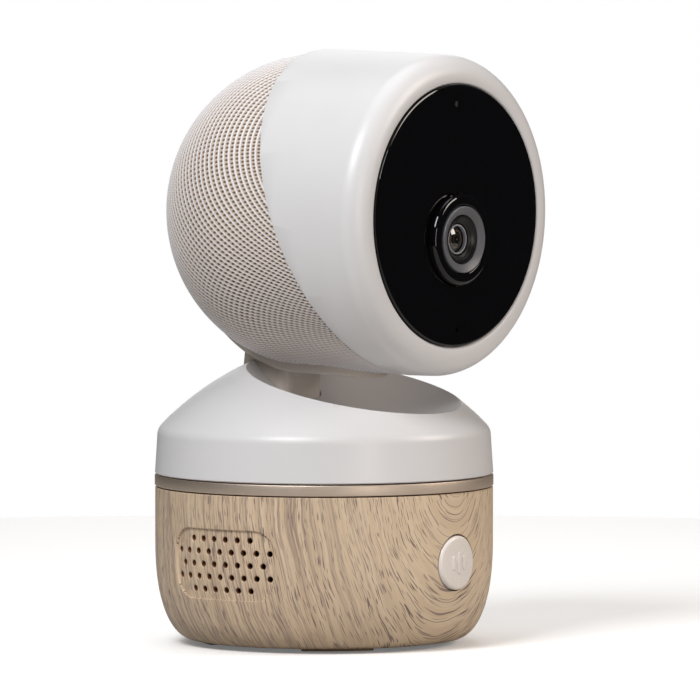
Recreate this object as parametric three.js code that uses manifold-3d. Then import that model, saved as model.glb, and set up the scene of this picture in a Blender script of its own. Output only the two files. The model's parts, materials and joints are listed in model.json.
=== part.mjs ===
// Baby monitor camera: a round camera head that tilts on a neck, above a wood-effect base it pans on.
// Units are millimetres, +Z is up and the lens looks along -Y. The origin is on the pan axis,
// level with the soles of the feet. Pieces of the head are drawn about the tilt axle's centre.

import * as THREE from 'three';
import { mergeVertices } from 'three/addons/utils/BufferGeometryUtils.js';
import Module from 'manifold-3d';

const wasm = await Module();
wasm.setup();

// ---------------------------------------------------------------- driving dimensions

const GAP = 0.3; // assembly gap between two neighbouring pieces
const SEGMENTS = { large: 32, medium: 18, small: 10, screw: 6 };

const BOWL = {
  radius: 39.8, wall: 2.2, underside: 0.65, footprint: 30.2, curveTop: 24, rim: 36.65, power: 2.3,
};
const PLATE = { radius: 29.9, thickness: 0.95, ledge: 27.2, top: 2.85, screwSink: 1.9 };
const FOOT = { count: 4, inner: 24, outer: 29, halfAngle: 17, height: 0.95, recess: 0.3 };
const BASE_POST = { ring: 22, radius: 3.2, firstAngle: 45, count: 4 };
const TRIM = { radius: 39.9, inner: 35.6, bottom: 36.95, top: 39.5 };
const CHASSIS = {
  bottom: 31, top: 33, radius: 37.3, wall: 2.2, hubOuter: 9.7, hubInner: 7.2, hubTop: 43.2,
};
const GRILLE = { height: 20.4, width: 30.2, tall: 16.4, corner: 5.5, depth: 0.45 };
const HOLES = { radius: 0.72, pitch: 4.95, rowGap: 2.95, rows: [6, 9, 8, 9, 6] };
const SPEAKER = { height: 20.4, radius: 10.2, front: -34.6, flange: 1.2, back: -27.4, magnet: 6.5 };
const BUTTON = {
  height: 20.4, radius: 6.35, proud: 0.5, flange: 7.9, rear: -35.1, stemEnd: -33.1, stem: 2,
};
const INLET = {
  height: 18.7, width: 12, tall: 6.2, corner: 2.2, outside: 40.4, socketWidth: 8.9, socketTall: 3.2,
};
const BALLAST = { bore: 3, radius: 18, bottom: 3.2, top: 9.1, edge: 0.5 };
const BOARD = { bottom: 15.4, thickness: 1.4, halfWidth: 17.5, front: -24, rear: 31 };

const GEAR = { // for one-millimetre module
  addendum: 0.75, dedendum: 1.1, tipWidth: 0.7, rootWidth: 1.6,
};
const PAN = { ringTeeth: 50, pinionTeeth: 10, ringOuter: 29.6, ringBottom: 34.3, pinionTop: 38 };
const TILT = { gearTeeth: 24, pinionTeeth: 10, forward: 9, above: 14.4, inside: 7.55, outside: 9.25 };

const COLLAR = { skirt: 39.85, skirtTop: 39.3, shoulder: 48.3, bottom: 39.8, wall: 2, fillet: 3.6 };
const CONE = {
  startRadius: 36.5, startHeight: 53.06, endRadius: 19.1, endHeight: 65.3, bulge: 4, peak: 69.6,
};
const SCOOP = { radius: 41.5, forward: 16.1, height: 92.4 };
const TURNTABLE = {
  radius: 37.3, bottom: 40.1, top: 42.1, hubOuter: 13.8, hubInner: 12, hubBottom: 35.5,
};
const COLLAR_POST = { ring: 33, radius: 2.6, angles: [0, 180] };
const NECK = {
  halfWidth: 7.25, front: 5.6, back: 19.5, corner: 2.8, flange: 18, foot: 43.6, floor: 1.8,
  cable: 3, eye: 7.4,
};
const NECK_SCREW = { ring: 15.2, angles: [200, 340] };

const HEAD = {
  height: 101.47, fabric: 37.05, flare: 0.018, shell: 35.9, shellInner: 33.6, fabricInner: 36.2,
};
const SEAM = { // the leaning joint of front casing and rear cover
  forward: 14.2, lean: 0.365, tongue: 4,
};
const CASING = {
  radius: 38.1, taper: 0.016, inner: 35.5, front: 39.4, fillet: 5.2, mouth: 30.8, lip: 28.8,
};
const STRIP = { halfWidth: 10, radius: 38.8, frontEnd: 16.5, rearAngle: 64, border: 2.1, turn: 45 };
const PANEL = { radius: 30.5, back: 38, front: 39.6, hood: 11, light: 26.1, microphone: 26.6 };
const LENS = {
  drop: 5.5, hood: 10.7, hoodInner: 8.1, hoodFront: 41.6, ring: 7.8, ringInner: 5.8, ringFront: 42,
};
const OPTICS = {
  barrel: 5.5, bore: 3.75, retainer: 3.15, glass: 3, boardFront: 25.3, barrelFront: 41.1,
};
const FRAME = { back: 20, front: 22, radius: 32.9, cheekIn: 9.55, cheekOut: 11.55, cheekHalf: 8 };
const AXLE = { radius: 2.5, halfLength: 13.4, bush: 3.9, flange: 5.4 };
const INFRARED = {
  bottom: 34, radius: 2.5, shoulder: 36.2, top: 37.4,
  places: [[15, 14], [-15, 14], [-15, -16], [15, -16]],
};
const CASING_POST = { ring: 31, radius: 2, angles: [90, 210, 330] };

// ---------------------------------------------------------------- finishes

const finish = (color, roughness, metalness = 0) => (
  new THREE.MeshStandardMaterial({ color, roughness, metalness })
);
const FINISH = {
  pearlPlastic: finish('#e3e1df', 0.38),
  woodFilm: finish('#c9ae8e', 0.5),
  champagne: finish('#b9aa97', 0.35, 0.9),
  knit: finish('#cbbfae', 0.9),
  neckPlastic: finish('#cfc6bc', 0.45),
  blackGloss: finish('#08080a', 0.06),
  blackPlastic: finish('#1a1a1c', 0.5),
  greyRing: finish('#55585c', 0.4),
  silver: finish('#c8c9cc', 0.25, 1),
  glass: finish('#26303c', 0.03),
  rubber: finish('#a98f74', 0.85),
  steel: finish('#a9abad', 0.35, 1),
  acetal: finish('#efece4', 0.5),
  board: finish('#1f5a3a', 0.6),
  paper: finish('#2b2a2a', 0.9),
  button: finish('#e4dfd8', 0.3),
};

// ---------------------------------------------------------------- solids from three.js geometry

const radians = THREE.MathUtils.degToRad;
const X = new THREE.Vector3(1, 0, 0);
const Y = new THREE.Vector3(0, 1, 0);
const Z = new THREE.Vector3(0, 0, 1);
// Where a shape drawn flat and raised along its own z ends up: raised up, sideways (+X) or to the front (-Y).
const RAISED = {
  up: new THREE.Matrix4().makeBasis(X, Y, Z),
  side: new THREE.Matrix4().makeBasis(Y, Z, X),
  front: new THREE.Matrix4().makeBasis(X, Z, Y.clone().negate()),
};

// A closed three.js geometry as a manifold solid, without the slivers at a sphere's or a lathe's poles.
function toSolid(geometry) {
  geometry.deleteAttribute('normal');
  geometry.deleteAttribute('uv');
  const merged = mergeVertices(geometry, 1e-4);
  const corners = [];
  for (let i = 0; i < merged.index.count; i += 3) {
    const [a, b, c] = [0, 1, 2].map((k) => merged.index.getX(i + k));
    if (a !== b && b !== c && c !== a) corners.push(a, b, c);
  }
  const vertProperties = Float32Array.from(merged.attributes.position.array);
  const mesh = new wasm.Mesh({ numProp: 3, vertProperties, triVerts: Uint32Array.from(corners) });
  return new wasm.Manifold(mesh);
}

// Solid of revolution; the profile is a loop of [radius, distance along the axis].
function turned(profile, axis = 'up', segments = SEGMENTS.large) {
  const points = profile.map(([radius, along]) => new THREE.Vector2(radius, along));
  if (THREE.ShapeUtils.area(points) < 0) points.reverse();
  points.push(points[0].clone());
  const geometry = new THREE.LatheGeometry(points, segments);
  geometry.rotateX(Math.PI / 2);
  return toSolid(geometry.applyMatrix4(RAISED[axis]));
}

// A flat shape given thickness between two distances along an axis.
function prism(shape, from, to, axis = 'up', curveSegments = 5) {
  const geometry = new THREE.ExtrudeGeometry(shape, { depth: to - from, bevelEnabled: false, curveSegments });
  geometry.translate(0, 0, from);
  return toSolid(geometry.applyMatrix4(RAISED[axis]));
}

// A round bar between two distances along an axis, its centre at [across, up] in the plane it is drawn on.
function rod(radius, from, to, axis = 'up', [u, v] = [0, 0], segments = SEGMENTS.small) {
  const geometry = new THREE.CylinderGeometry(radius, radius, to - from, segments);
  geometry.rotateX(Math.PI / 2);
  geometry.translate(u, v, (from + to) / 2);
  return toSolid(geometry.applyMatrix4(RAISED[axis]));
}

function tube(outer, inner, from, to, axis = 'up', centre = [0, 0], segments = SEGMENTS.medium) {
  const bore = rod(inner, from - 1, to + 1, axis, centre, segments);
  return rod(outer, from, to, axis, centre, segments).subtract(bore);
}

function block([x0, x1], [y0, y1], [z0, z1]) {
  const geometry = new THREE.BoxGeometry(x1 - x0, y1 - y0, z1 - z0);
  return toSolid(geometry.translate((x0 + x1) / 2, (y0 + y1) / 2, (z0 + z1) / 2));
}

function polygon(points) {
  return new THREE.Shape(points.map(([u, v]) => new THREE.Vector2(u, v)));
}

function roundedRectangle(width, height, corner, [u, v] = [0, 0]) {
  const shape = new THREE.Shape();
  const right = u + width / 2 - corner;
  const left = u - width / 2 + corner;
  const top = v + height / 2 - corner;
  const bottom = v - height / 2 + corner;
  shape.absarc(right, bottom, corner, -Math.PI / 2, 0);
  shape.absarc(right, top, corner, 0, Math.PI / 2);
  shape.absarc(left, top, corner, Math.PI / 2, Math.PI);
  shape.absarc(left, bottom, corner, Math.PI, 1.5 * Math.PI);
  return shape;
}

// Points on a circular arc about [u, v], both ends included; angles in degrees.
function arc([u, v], radius, startDegrees, endDegrees, steps) {
  return Array.from({ length: steps + 1 }, (_, i) => {
    const angle = radians(startDegrees + ((endDegrees - startDegrees) * i) / steps);
    return [u + radius * Math.cos(angle), v + radius * Math.sin(angle)];
  });
}

const around = (ring, degrees) => [ring * Math.cos(radians(degrees)), ring * Math.sin(radians(degrees))];
const joined = (solids) => wasm.Manifold.union(solids);

// A pan-head screw, its shank pointing along the axis from the underside of its head.
function screw(headSide, tip, axis, centre, thread = 1.1, head = 2) {
  const direction = Math.sign(tip - headSide);
  const top = headSide - direction * 1.2;
  const profile = [[0, top], [head * 0.8, top], [head, headSide - direction * 0.5], [head, headSide]];
  profile.push([thread, headSide], [thread, tip], [0, tip]);
  return turned(profile, axis, SEGMENTS.screw).translate(...alongAxis(axis, centre));
}

function alongAxis(axis, [u, v]) {
  return new THREE.Vector3(u, v, 0).applyMatrix4(RAISED[axis]).toArray();
}

// ---------------------------------------------------------------- gears

// A ring of straight-sided teeth with one tooth centred on firstAngle, as a loop of points.
function toothLoop(teeth, tipRadius, rootRadius, firstAngle) {
  const loop = [];
  const tip = GEAR.tipWidth / 2 / tipRadius;
  const root = GEAR.rootWidth / 2 / rootRadius;
  for (let tooth = 0; tooth < teeth; tooth += 1) {
    const middle = firstAngle + (2 * Math.PI * tooth) / teeth;
    const outline = [[rootRadius, -root], [tipRadius, -tip], [tipRadius, tip], [rootRadius, root]];
    for (const [radius, offset] of outline) {
      loop.push([radius * Math.cos(middle + offset), radius * Math.sin(middle + offset)]);
    }
  }
  return loop;
}

function gearShape(teeth, firstAngle) {
  const pitch = teeth / 2;
  return polygon(toothLoop(teeth, pitch + GEAR.addendum, pitch - GEAR.dedendum, firstAngle));
}

function ringGearShape(teeth, outer, firstAngle) {
  const pitch = teeth / 2;
  const shape = polygon(arc([0, 0], outer, 0, 360, SEGMENTS.large).slice(0, -1));
  shape.holes.push(polygon(toothLoop(teeth, pitch - GEAR.addendum, pitch + GEAR.dedendum, firstAngle)));
  return shape;
}

// ---------------------------------------------------------------- base: housing

// The bowl's side below its straight part, a quarter of a superellipse drawn in by inset.
function bowlCurve(inset, steps) {
  const reach = BOWL.radius - BOWL.footprint - inset;
  const drop = BOWL.curveTop - BOWL.underside - inset;
  return Array.from({ length: steps + 1 }, (_, i) => {
    const angle = (Math.PI / 2) * (i / steps);
    const radius = BOWL.footprint + reach * Math.sin(angle) ** (2 / BOWL.power);
    return [radius, BOWL.curveTop - drop * Math.cos(angle) ** (2 / BOWL.power)];
  });
}

function bowlShell() {
  const lip = PLATE.ledge + GAP;
  const lipBottom = BOWL.underside + PLATE.thickness + GAP;
  const outside = [...bowlCurve(0, 6), [BOWL.radius, BOWL.rim]];
  const inside = [...bowlCurve(BOWL.wall, 4), [BOWL.radius - BOWL.wall, BOWL.rim]].reverse();
  return turned([[lip, lipBottom], [BOWL.footprint, lipBottom], ...outside, ...inside, [lip, PLATE.top]]);
}

// The shallow field pressed into the wall around the speaker's holes.
function grilleField() {
  const skin = [...bowlCurve(GRILLE.depth, 6), [BOWL.radius - GRILLE.depth, BOWL.rim], [0, BOWL.rim]];
  const core = turned([[0, BOWL.underside + GRILLE.depth], ...skin]);
  const outline = roundedRectangle(GRILLE.width, GRILLE.tall, GRILLE.corner, [0, GRILLE.height]);
  return prism(outline, -BOWL.radius - 2, -BOWL.radius / 2, 'side').subtract(core);
}

function speakerHoles() {
  const middleRow = (HOLES.rows.length - 1) / 2;
  return HOLES.rows.flatMap((count, row) => {
    const height = GRILLE.height + (middleRow - row) * HOLES.rowGap;
    return Array.from({ length: count }, (_, i) => {
      const turn = (i - (count - 1) / 2) * HOLES.pitch;
      const hole = rod(HOLES.radius, -BOWL.radius - 1, -BOWL.radius + 4.5, 'side', [0, height], 6);
      return hole.rotate([0, 0, turn]);
    });
  });
}

function baseBowl() {
  const { radius } = BOWL;
  const buttonHole = rod(BUTTON.radius + GAP, radius / 2, radius + 3, 'front', [0, BUTTON.height], 28);
  const opening = roundedRectangle(INLET.width + GAP, INLET.tall + GAP, INLET.corner, [0, INLET.height]);
  const inletHole = prism(opening, -radius - 3, -radius / 2, 'front');
  return bowlShell().subtract(joined([grilleField(), buttonHole, inletHole, ...speakerHoles()]));
}

function trimRing() {
  const { radius, inner, bottom, top } = TRIM;
  return turned([[inner, bottom], [radius, bottom], [radius, top], [inner, top]]);
}

function screwHoles(ring, angles, radius, from, to) {
  return joined(angles.map((degrees) => rod(radius, from, to, 'up', around(ring, degrees), 8)));
}

const postAngles = Array.from({ length: BASE_POST.count }, (_, i) => BASE_POST.firstAngle + i * 90);

function footShape(grow) {
  const half = FOOT.halfAngle + grow * 2;
  const outer = arc([0, 0], FOOT.outer + grow, -half, half, 3);
  return polygon([...outer, ...arc([0, 0], FOOT.inner - grow, half, -half, 3)]);
}

function basePlate() {
  const bottom = BOWL.underside;
  const step = bottom + PLATE.thickness;
  const rim = [[PLATE.radius, bottom], [PLATE.radius, step], [PLATE.ledge, step], [PLATE.ledge, PLATE.top]];
  const disc = turned([[0, bottom], ...rim, [0, PLATE.top]]);
  const pockets = postAngles.map((degrees) => (
    prism(footShape(0.2), -1, bottom + FOOT.recess + GAP).rotate([0, 0, degrees])));
  const sinks = screwHoles(BASE_POST.ring, postAngles, 2.3, -1, PLATE.screwSink + GAP);
  return disc.subtract(joined([...pockets, sinks, screwHoles(BASE_POST.ring, postAngles, 1.4, -1, 4)]));
}

function foot(degrees) {
  return prism(footShape(0), 0, FOOT.height).rotate([0, 0, degrees])
    .subtract(screwHoles(BASE_POST.ring, [degrees], 2.6, -1, 2));
}

function baseChassis() {
  const { bottom, top, radius, wall, hubOuter, hubInner, hubTop } = CHASSIS;
  const plate = turned([[hubInner, bottom], [radius, bottom], [radius, BOWL.rim], [radius - wall, BOWL.rim],
    [radius - wall, top], [hubOuter, top], [hubOuter, hubTop], [hubInner, hubTop]]);
  const posts = postAngles.map((degrees) => (
    rod(BASE_POST.radius, PLATE.top + GAP, bottom + 0.5, 'up', around(BASE_POST.ring, degrees), 8)));
  const shaftHole = rod(2.4, bottom - 1, top + 1, 'up', [panCentre, 0]);
  return joined([plate, ...posts])
    .subtract(shaftHole)
    .subtract(screwHoles(BASE_POST.ring, postAngles, 1.4, 0, 12));
}

// ---------------------------------------------------------------- base: inside

const panCentre = (PAN.ringTeeth - PAN.pinionTeeth) / 2;

function mainBoard() {
  const top = BOARD.bottom + BOARD.thickness;
  const sheet = block([-BOARD.halfWidth, BOARD.halfWidth], [BOARD.front, BOARD.rear], [BOARD.bottom, top]);
  const chips = [[[-10, 2], [-8, 4], 1.6], [[5, 12], [-20, -12], 1.2], [[-13, -7], [12, 20], 2.4]];
  const parts = chips.map(([x, y, tall]) => block(x, y, [top - 0.2, top + tall]));
  const slots = screwHoles(BASE_POST.ring, postAngles, BASE_POST.radius + GAP, 0, 30);
  return joined([sheet, ...parts]).subtract(slots);
}

// The power inlet: a flange in the rear wall with the metal mouth of the socket behind it.
function powerSocket() {
  const { height, width, tall, corner, outside, socketWidth, socketTall } = INLET;
  const level = (half) => [height - half, height + half];
  const flange = prism(roundedRectangle(width, tall, corner, [0, height]), -outside, -36, 'front');
  const body = block([-socketWidth / 2, socketWidth / 2], [29.5, 37], level(socketTall / 2));
  const mouth = prism(roundedRectangle(8.3, 2.6, 1.29, [0, height]), -outside - 1, -30.5, 'front');
  const tongue = block([-3.3, 3.3], [30, 38.6], level(0.35));
  return joined([joined([flange, body]).subtract(mouth), tongue]);
}

function ballastWeight() {
  const { bore, radius, bottom, top, edge } = BALLAST;
  const profile = [[bore, bottom], [radius - edge, bottom], [radius, bottom + edge], [radius, top - edge],
    [radius - edge, top], [bore, top]];
  return turned(profile, 'up', SEGMENTS.medium);
}

function speakerFrame() {
  const { front, radius, flange, back, magnet, height } = SPEAKER;
  const profile = [[radius - 1.6, front], [radius, front], [radius, front + flange], [magnet + 1.2, back],
    [3, back], [3, back - 1.2], [magnet, back - 1.2], [radius - 1.6, front + flange]];
  return turned(profile, 'side', SEGMENTS.medium).translate([0, 0, height]);
}

function speakerCone() {
  const { front, radius, height } = SPEAKER;
  const face = front + 0.5;
  const profile = [[0, face + 2.6], [3.6, face + 1.8], [radius - 3, face], [radius - 2, face + 0.5],
    [radius - 2, face + 1.1], [radius - 3.6, face + 1.1], [3.6, face + 3.6], [0, face + 4]];
  return turned(profile, 'side', SEGMENTS.medium).translate([0, 0, height]);
}

function speakerMagnet() {
  const { magnet, back, height } = SPEAKER;
  return rod(magnet, back + GAP, back + 6, 'side', [0, height], SEGMENTS.small);
}

// A flat can motor from its back to the tip of the boss that its shaft comes out of.
function stepperMotor(radius, back, tip, axis, centre) {
  const along = Math.sign(tip - back);
  const span = (a, b) => [Math.min(a, b), Math.max(a, b)];
  const can = rod(radius, ...span(back, tip - along), axis, centre, SEGMENTS.medium);
  const nose = rod(4, ...span(tip - 1.5 * along, tip), axis, centre);
  const shaftHole = rod(1.5 + GAP, ...span(back + 3 * along, tip + along), axis, centre, 10);
  return joined([can, nose]).subtract(shaftHole);
}

function pinion(teeth, from, to, axis, centre, shaftTip, firstAngle) {
  const wheel = prism(gearShape(teeth, firstAngle), from, to, axis);
  const shaft = rod(1.5, Math.min(shaftTip, from), Math.max(shaftTip, from) + 0.5, axis, [0, 0], 10);
  return joined([wheel, shaft]).translate(alongAxis(axis, centre));
}

function callButton() {
  const { height, radius, proud, flange, rear, stemEnd, stem } = BUTTON;
  const skin = turned([[0, 0], [BOWL.radius + proud, 0], [BOWL.radius + proud, BOWL.rim], [0, BOWL.rim]]);
  const back = -rear;
  const cap = turned([[0, back - 1], [flange, back - 1], [flange, back], [0, back]], 'front', 24);
  const face = [[radius, 39.1], [radius - 0.7, 41], [0, 41]];
  const crown = turned([[0, back - 0.5], [radius, back - 0.5], ...face], 'front', 24);
  const shank = rod(stem, -stemEnd, back, 'front', [0, 0], 12);
  return joined([cap, crown, shank]).translate([0, 0, height]).intersect(skin);
}

function buttonSwitch() {
  const board = block([-8, 8], [-30.6, -29.2], [BUTTON.height - 5, BUTTON.height + 5]);
  const body = block([-3, 3], [-31.4, -30.2], [BUTTON.height - 3, BUTTON.height + 3]);
  return joined([board, body, rod(1.6, 31, 32, 'front', [0, BUTTON.height], 10)]);
}

function panRetainer() {
  return tube(12.8, CHASSIS.hubOuter + GAP, TURNTABLE.top + GAP, CHASSIS.hubTop);
}

// ---------------------------------------------------------------- turret

// The collar's outside from its skirt over the shoulder to the tip of the dome, drawn in by inset.
function domeProfile(inset, steps) {
  const { skirt, skirtTop, shoulder, bottom, fillet } = COLLAR;
  const corner = arc([skirtTop - fillet, shoulder + 0.4], fillet - inset, 0, 48, 3);
  const start = new THREE.Vector2(CONE.startRadius - inset * 0.7, CONE.startHeight - inset * 0.72);
  const end = new THREE.Vector2(0, CONE.peak - inset);
  const middle = new THREE.Vector2(CONE.endRadius, CONE.endHeight + CONE.bulge - inset);
  const slope = new THREE.QuadraticBezierCurve(start, middle, end).getPoints(steps);
  return [[skirt - inset, bottom], ...corner, ...slope.map((point) => [point.x, point.y])];
}

function scoopBall(grow) {
  const ball = new THREE.SphereGeometry(SCOOP.radius + grow, 28, 18);
  return toSolid(ball.translate(0, -SCOOP.forward, SCOOP.height));
}

function neckShape(grow) {
  const { halfWidth, front, back, corner } = NECK;
  const middle = [0, (front + back) / 2];
  return roundedRectangle(2 * (halfWidth + grow), back - front + 2 * grow, corner + grow, middle);
}

function collar() {
  const { wall, bottom } = COLLAR;
  const dome = turned([...domeProfile(0, 5), [0, bottom]]).subtract(scoopBall(0));
  const hollow = turned([...domeProfile(wall, 4), [0, bottom - 1], [COLLAR.skirt - wall, bottom - 1]])
    .subtract(scoopBall(wall));
  const posts = joined(COLLAR_POST.angles.map((degrees) => (
    rod(COLLAR_POST.radius, TURNTABLE.top + GAP, 56, 'up', around(COLLAR_POST.ring, degrees), 12))));
  const neckHole = prism(neckShape(GAP), bottom, 80, 'up', 4);
  const threads = screwHoles(COLLAR_POST.ring, COLLAR_POST.angles, 1.4, bottom, 48);
  return dome.subtract(hollow.subtract(posts)).subtract(neckHole).subtract(threads);
}

function turntable() {
  const { radius, bottom, top, hubOuter, hubInner, hubBottom } = TURNTABLE;
  const disc = turned([[hubInner, hubBottom], [hubOuter, hubBottom], [hubOuter, bottom], [radius, bottom],
    [radius, top], [hubInner, top]]);
  const pads = joined(NECK_SCREW.angles.map((degrees) => (
    rod(3, top - 0.5, NECK.foot - GAP, 'up', around(NECK_SCREW.ring, degrees), 12))));
  return joined([disc, pads])
    .subtract(rod(12.8 + GAP, top, 50, 'up', [0, 0], SEGMENTS.medium))
    .subtract(screwHoles(NECK_SCREW.ring, NECK_SCREW.angles, 1.4, 38, 50))
    .subtract(screwHoles(COLLAR_POST.ring, COLLAR_POST.angles, 1.4, 38, 50));
}

function turretGear() {
  const halfTooth = Math.PI / PAN.ringTeeth;
  const shape = ringGearShape(PAN.ringTeeth, PAN.ringOuter, halfTooth);
  return prism(shape, PAN.ringBottom, TURNTABLE.bottom - GAP);
}

function panBush() {
  const { hubInner, hubBottom, top } = TURNTABLE;
  return tube(hubInner - GAP, CHASSIS.hubOuter + GAP, hubBottom + GAP, top - GAP);
}

// A foot flange on the turntable, a column through the collar, and an arm up to the eye for the tilt axle.
function neck() {
  const { front, back, halfWidth, flange, foot: base, cable, eye } = NECK;
  const floorTop = base + NECK.floor;
  const floor = turned([[0, base], [flange, base], [flange, floorTop], [0, floorTop]], 'up', SEGMENTS.medium);
  const column = prism(neckShape(0), base, 68.5, 'up', 4);
  const lean = polygon([[front + 0.4, 66], [back - 0.4, 66], [back - 1, 69], [eye - 0.6, 98.6], [-4.4, 96]]);
  const arm = prism(lean, -halfWidth + 0.6, halfWidth - 0.6, 'side');
  const head = rod(eye, -halfWidth, halfWidth, 'side', [0, HEAD.height], SEGMENTS.medium);
  const bore = rod(AXLE.radius + GAP, -20, 20, 'side', [0, HEAD.height]);
  const duct = rod(cable, base - 1, 90, 'up', [0, (front + back) / 2], 12);
  return joined([floor, column, arm, head])
    .subtract(joined([bore, duct, screwHoles(NECK_SCREW.ring, NECK_SCREW.angles, 1.4, 40, 50)]));
}

function tiltAxle() {
  return rod(AXLE.radius, -AXLE.halfLength, AXLE.halfLength, 'side', [0, HEAD.height]);
}

const tiltAngle = Math.atan2(TILT.above, -TILT.forward); // from the axle to the pinion, seen from +X

function tiltGear() {
  const wheel = prism(gearShape(TILT.gearTeeth, tiltAngle), TILT.inside, TILT.outside, 'side');
  const bore = rod(AXLE.radius + GAP, 0, 20, 'side');
  return wheel.subtract(bore).translate([0, 0, HEAD.height]);
}

// ---------------------------------------------------------------- head: covers

// A dome of the given radius behind the axle that runs on as a cylinder in front of it.
function domedBar(radius, flare, length, steps = 6) {
  const back = arc([0, 0], radius, -90, 0, steps);
  return turned([...back, [radius + flare * length, length], [0, length]], 'front');
}

// Everything behind the leaning seam (side 1) or in front of it (side -1), moved forward by shift.
function seamSide(side, shift) {
  const at = (z) => -SEAM.forward - shift + SEAM.lean * z;
  const far = side * 90;
  return prism(polygon([[at(-60), -60], [at(60), 60], [far, 60], [far, -60]]), -60, 60, 'side');
}

// The band under and behind the head that the neck can move along, with round ends.
function slotRegion(halfWidth, border) {
  const front = STRIP.frontEnd - border;
  const reach = STRIP.radius * Math.sin(radians(STRIP.rearAngle - STRIP.turn)) - border;
  const band = (end) => {
    const cap = arc([0, -end + halfWidth], halfWidth, 180, 360, 10);
    return polygon([...cap, [halfWidth, 70], [-halfWidth, 70]]);
  };
  const below = prism(band(front), -60, 0);
  const behind = prism(band(reach), -60, 60).rotate([0, 0, 180]).rotate([STRIP.turn, 0, 0]);
  return below.intersect(behind);
}

function headCasing() {
  const { radius, taper, inner, front, fillet, mouth, lip } = CASING;
  const edge = radius - taper * (front - fillet);
  const outside = [[radius + 0.05, -3], ...arc([edge - fillet, front - fillet], fillet, 0, 90, 5)];
  const seat = PANEL.back - GAP;
  const behind = PANEL.back - 1.8;
  const throat = [[mouth, front], [mouth, seat], [lip, seat], [lip, behind]];
  const inside = [[lip + 4, behind], [inner, 33.4], [inner, -3]];
  const sleeve = turned([...outside, ...throat, ...inside], 'front');
  const places = CASING_POST.angles.map((degrees) => around(CASING_POST.ring, degrees));
  const posts = joined(places.map((place) => (
    rod(CASING_POST.radius, FRAME.front + GAP, PANEL.back - 1, 'front', place, 10))));
  const threads = joined(places.map((place) => (
    rod(1.1, FRAME.front - 1, FRAME.front + 6, 'front', place, 8))));
  return joined([sleeve, posts]).subtract(threads).intersect(seamSide(-1, 0));
}

function rearShell() {
  const body = domedBar(HEAD.shell, 0, 36).intersect(seamSide(1, -GAP));
  const tongue = domedBar(CASING.inner - 0.35, 0, 36).intersect(seamSide(1, SEAM.tongue));
  const hollow = domedBar(HEAD.shellInner, 0, 50, 5);
  const opening = slotRegion(STRIP.halfWidth - STRIP.border + GAP, STRIP.border);
  return joined([body, tongue]).subtract(hollow).subtract(opening);
}

function fabricCover() {
  const skin = domedBar(HEAD.fabric, HEAD.flare, 36).subtract(domedBar(HEAD.fabricInner, 0, 50));
  return skin.intersect(seamSide(1, -GAP)).subtract(slotRegion(STRIP.halfWidth + GAP, -GAP));
}

function slotFrame() {
  const band = domedBar(STRIP.radius, 0.01, 36).subtract(domedBar(HEAD.fabricInner, 0, 50));
  return band.intersect(slotRegion(STRIP.halfWidth, 0))
    .subtract(slotRegion(STRIP.halfWidth - STRIP.border, STRIP.border));
}

// ---------------------------------------------------------------- head: front and lens

function frontPanel() {
  const { radius, back, front, hood, light, microphone } = PANEL;
  const bevel = 0.25;
  const edge = [[radius, front - bevel], [radius - bevel, front]];
  const disc = turned([[0, back], [radius, back], ...edge, [0, front]], 'front');
  return disc.subtract(joined([
    rod(hood, back - 1, front + 1, 'front', [0, -LENS.drop], SEGMENTS.medium),
    rod(1.05, back - 1, front + 1, 'front', [0, light], 10),
    rod(0.6, back - 1, front + 1, 'front', [0, -microphone], 8),
  ]));
}

function aboutLens(profile, segments = SEGMENTS.medium) {
  return turned(profile, 'front', segments).translate([0, 0, -LENS.drop]);
}

function lensHood() {
  const { hood, hoodInner, hoodFront } = LENS;
  const back = PANEL.back - GAP;
  const crown = arc([hood - 0.9, hoodFront - 0.9], 0.9, 0, 90, 3);
  const flange = [[hoodInner, 36.2], [12.6, 36.2], [12.6, back], [hood, back]];
  return aboutLens([...flange, ...crown, [hoodInner, hoodFront]]);
}

function lensRing() {
  const { ring, ringInner, ringFront } = LENS;
  return aboutLens([[ringInner, 37.4], [ring, 37.4], [ring, ringFront], [ring - 0.3, ringFront],
    [ringInner, ringFront - 0.7]]);
}

function lensBarrel() {
  const { barrel, bore, boardFront, barrelFront } = OPTICS;
  return aboutLens([[bore, boardFront + GAP], [barrel, boardFront + GAP], [barrel, barrelFront],
    [barrel - 0.3, barrelFront], [bore + 0.1, 39.9], [bore, 39.6]]);
}

function lensRetainer() {
  return aboutLens([[OPTICS.retainer, 39], [3.5, 39], [3.5, 39.8], [OPTICS.retainer + 0.1, 39.8]], 16);
}

function lensGlass() {
  const { glass } = OPTICS;
  const dome = [[glass - 0.2, 38.7], [2.2, 39.2], [1.2, 39.5], [0, 39.6]];
  return aboutLens([[0, 34], [glass + 0.5, 34], [glass + 0.5, 38.7], ...dome], 16);
}

function sensorBoard() {
  const { boardFront } = OPTICS;
  const drop = -LENS.drop;
  const sheet = block([-12, 12], [-boardFront, -boardFront + 1.2], [drop - 12, drop + 12]);
  return joined([sheet, block([-2.4, 2.4], [-boardFront - 1.6, -boardFront], [drop - 2, drop + 2])]);
}

function infraredBoard() {
  const ring = tube(28, 13, 32.5, 33.7, 'front', [0, 0]);
  return ring.subtract(rod(13, 30, 36, 'front', [0, -LENS.drop], SEGMENTS.medium));
}

function infraredLight(x, z) {
  const { bottom, radius, shoulder, top } = INFRARED;
  const dome = [[radius, shoulder], [radius - 0.9, top - 0.3], [0, top]];
  return turned([[0, bottom], [radius, bottom], ...dome], 'front', 12).translate([x, 0, z]);
}

function statusLight() {
  return rod(0.75, 34, PANEL.front - 0.2, 'front', [0, PANEL.light], 10);
}

function microphone() {
  return rod(2.2, 34.4, PANEL.back - GAP, 'front', [0, -PANEL.microphone + 0.4], 14);
}

// ---------------------------------------------------------------- head: frame

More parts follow.
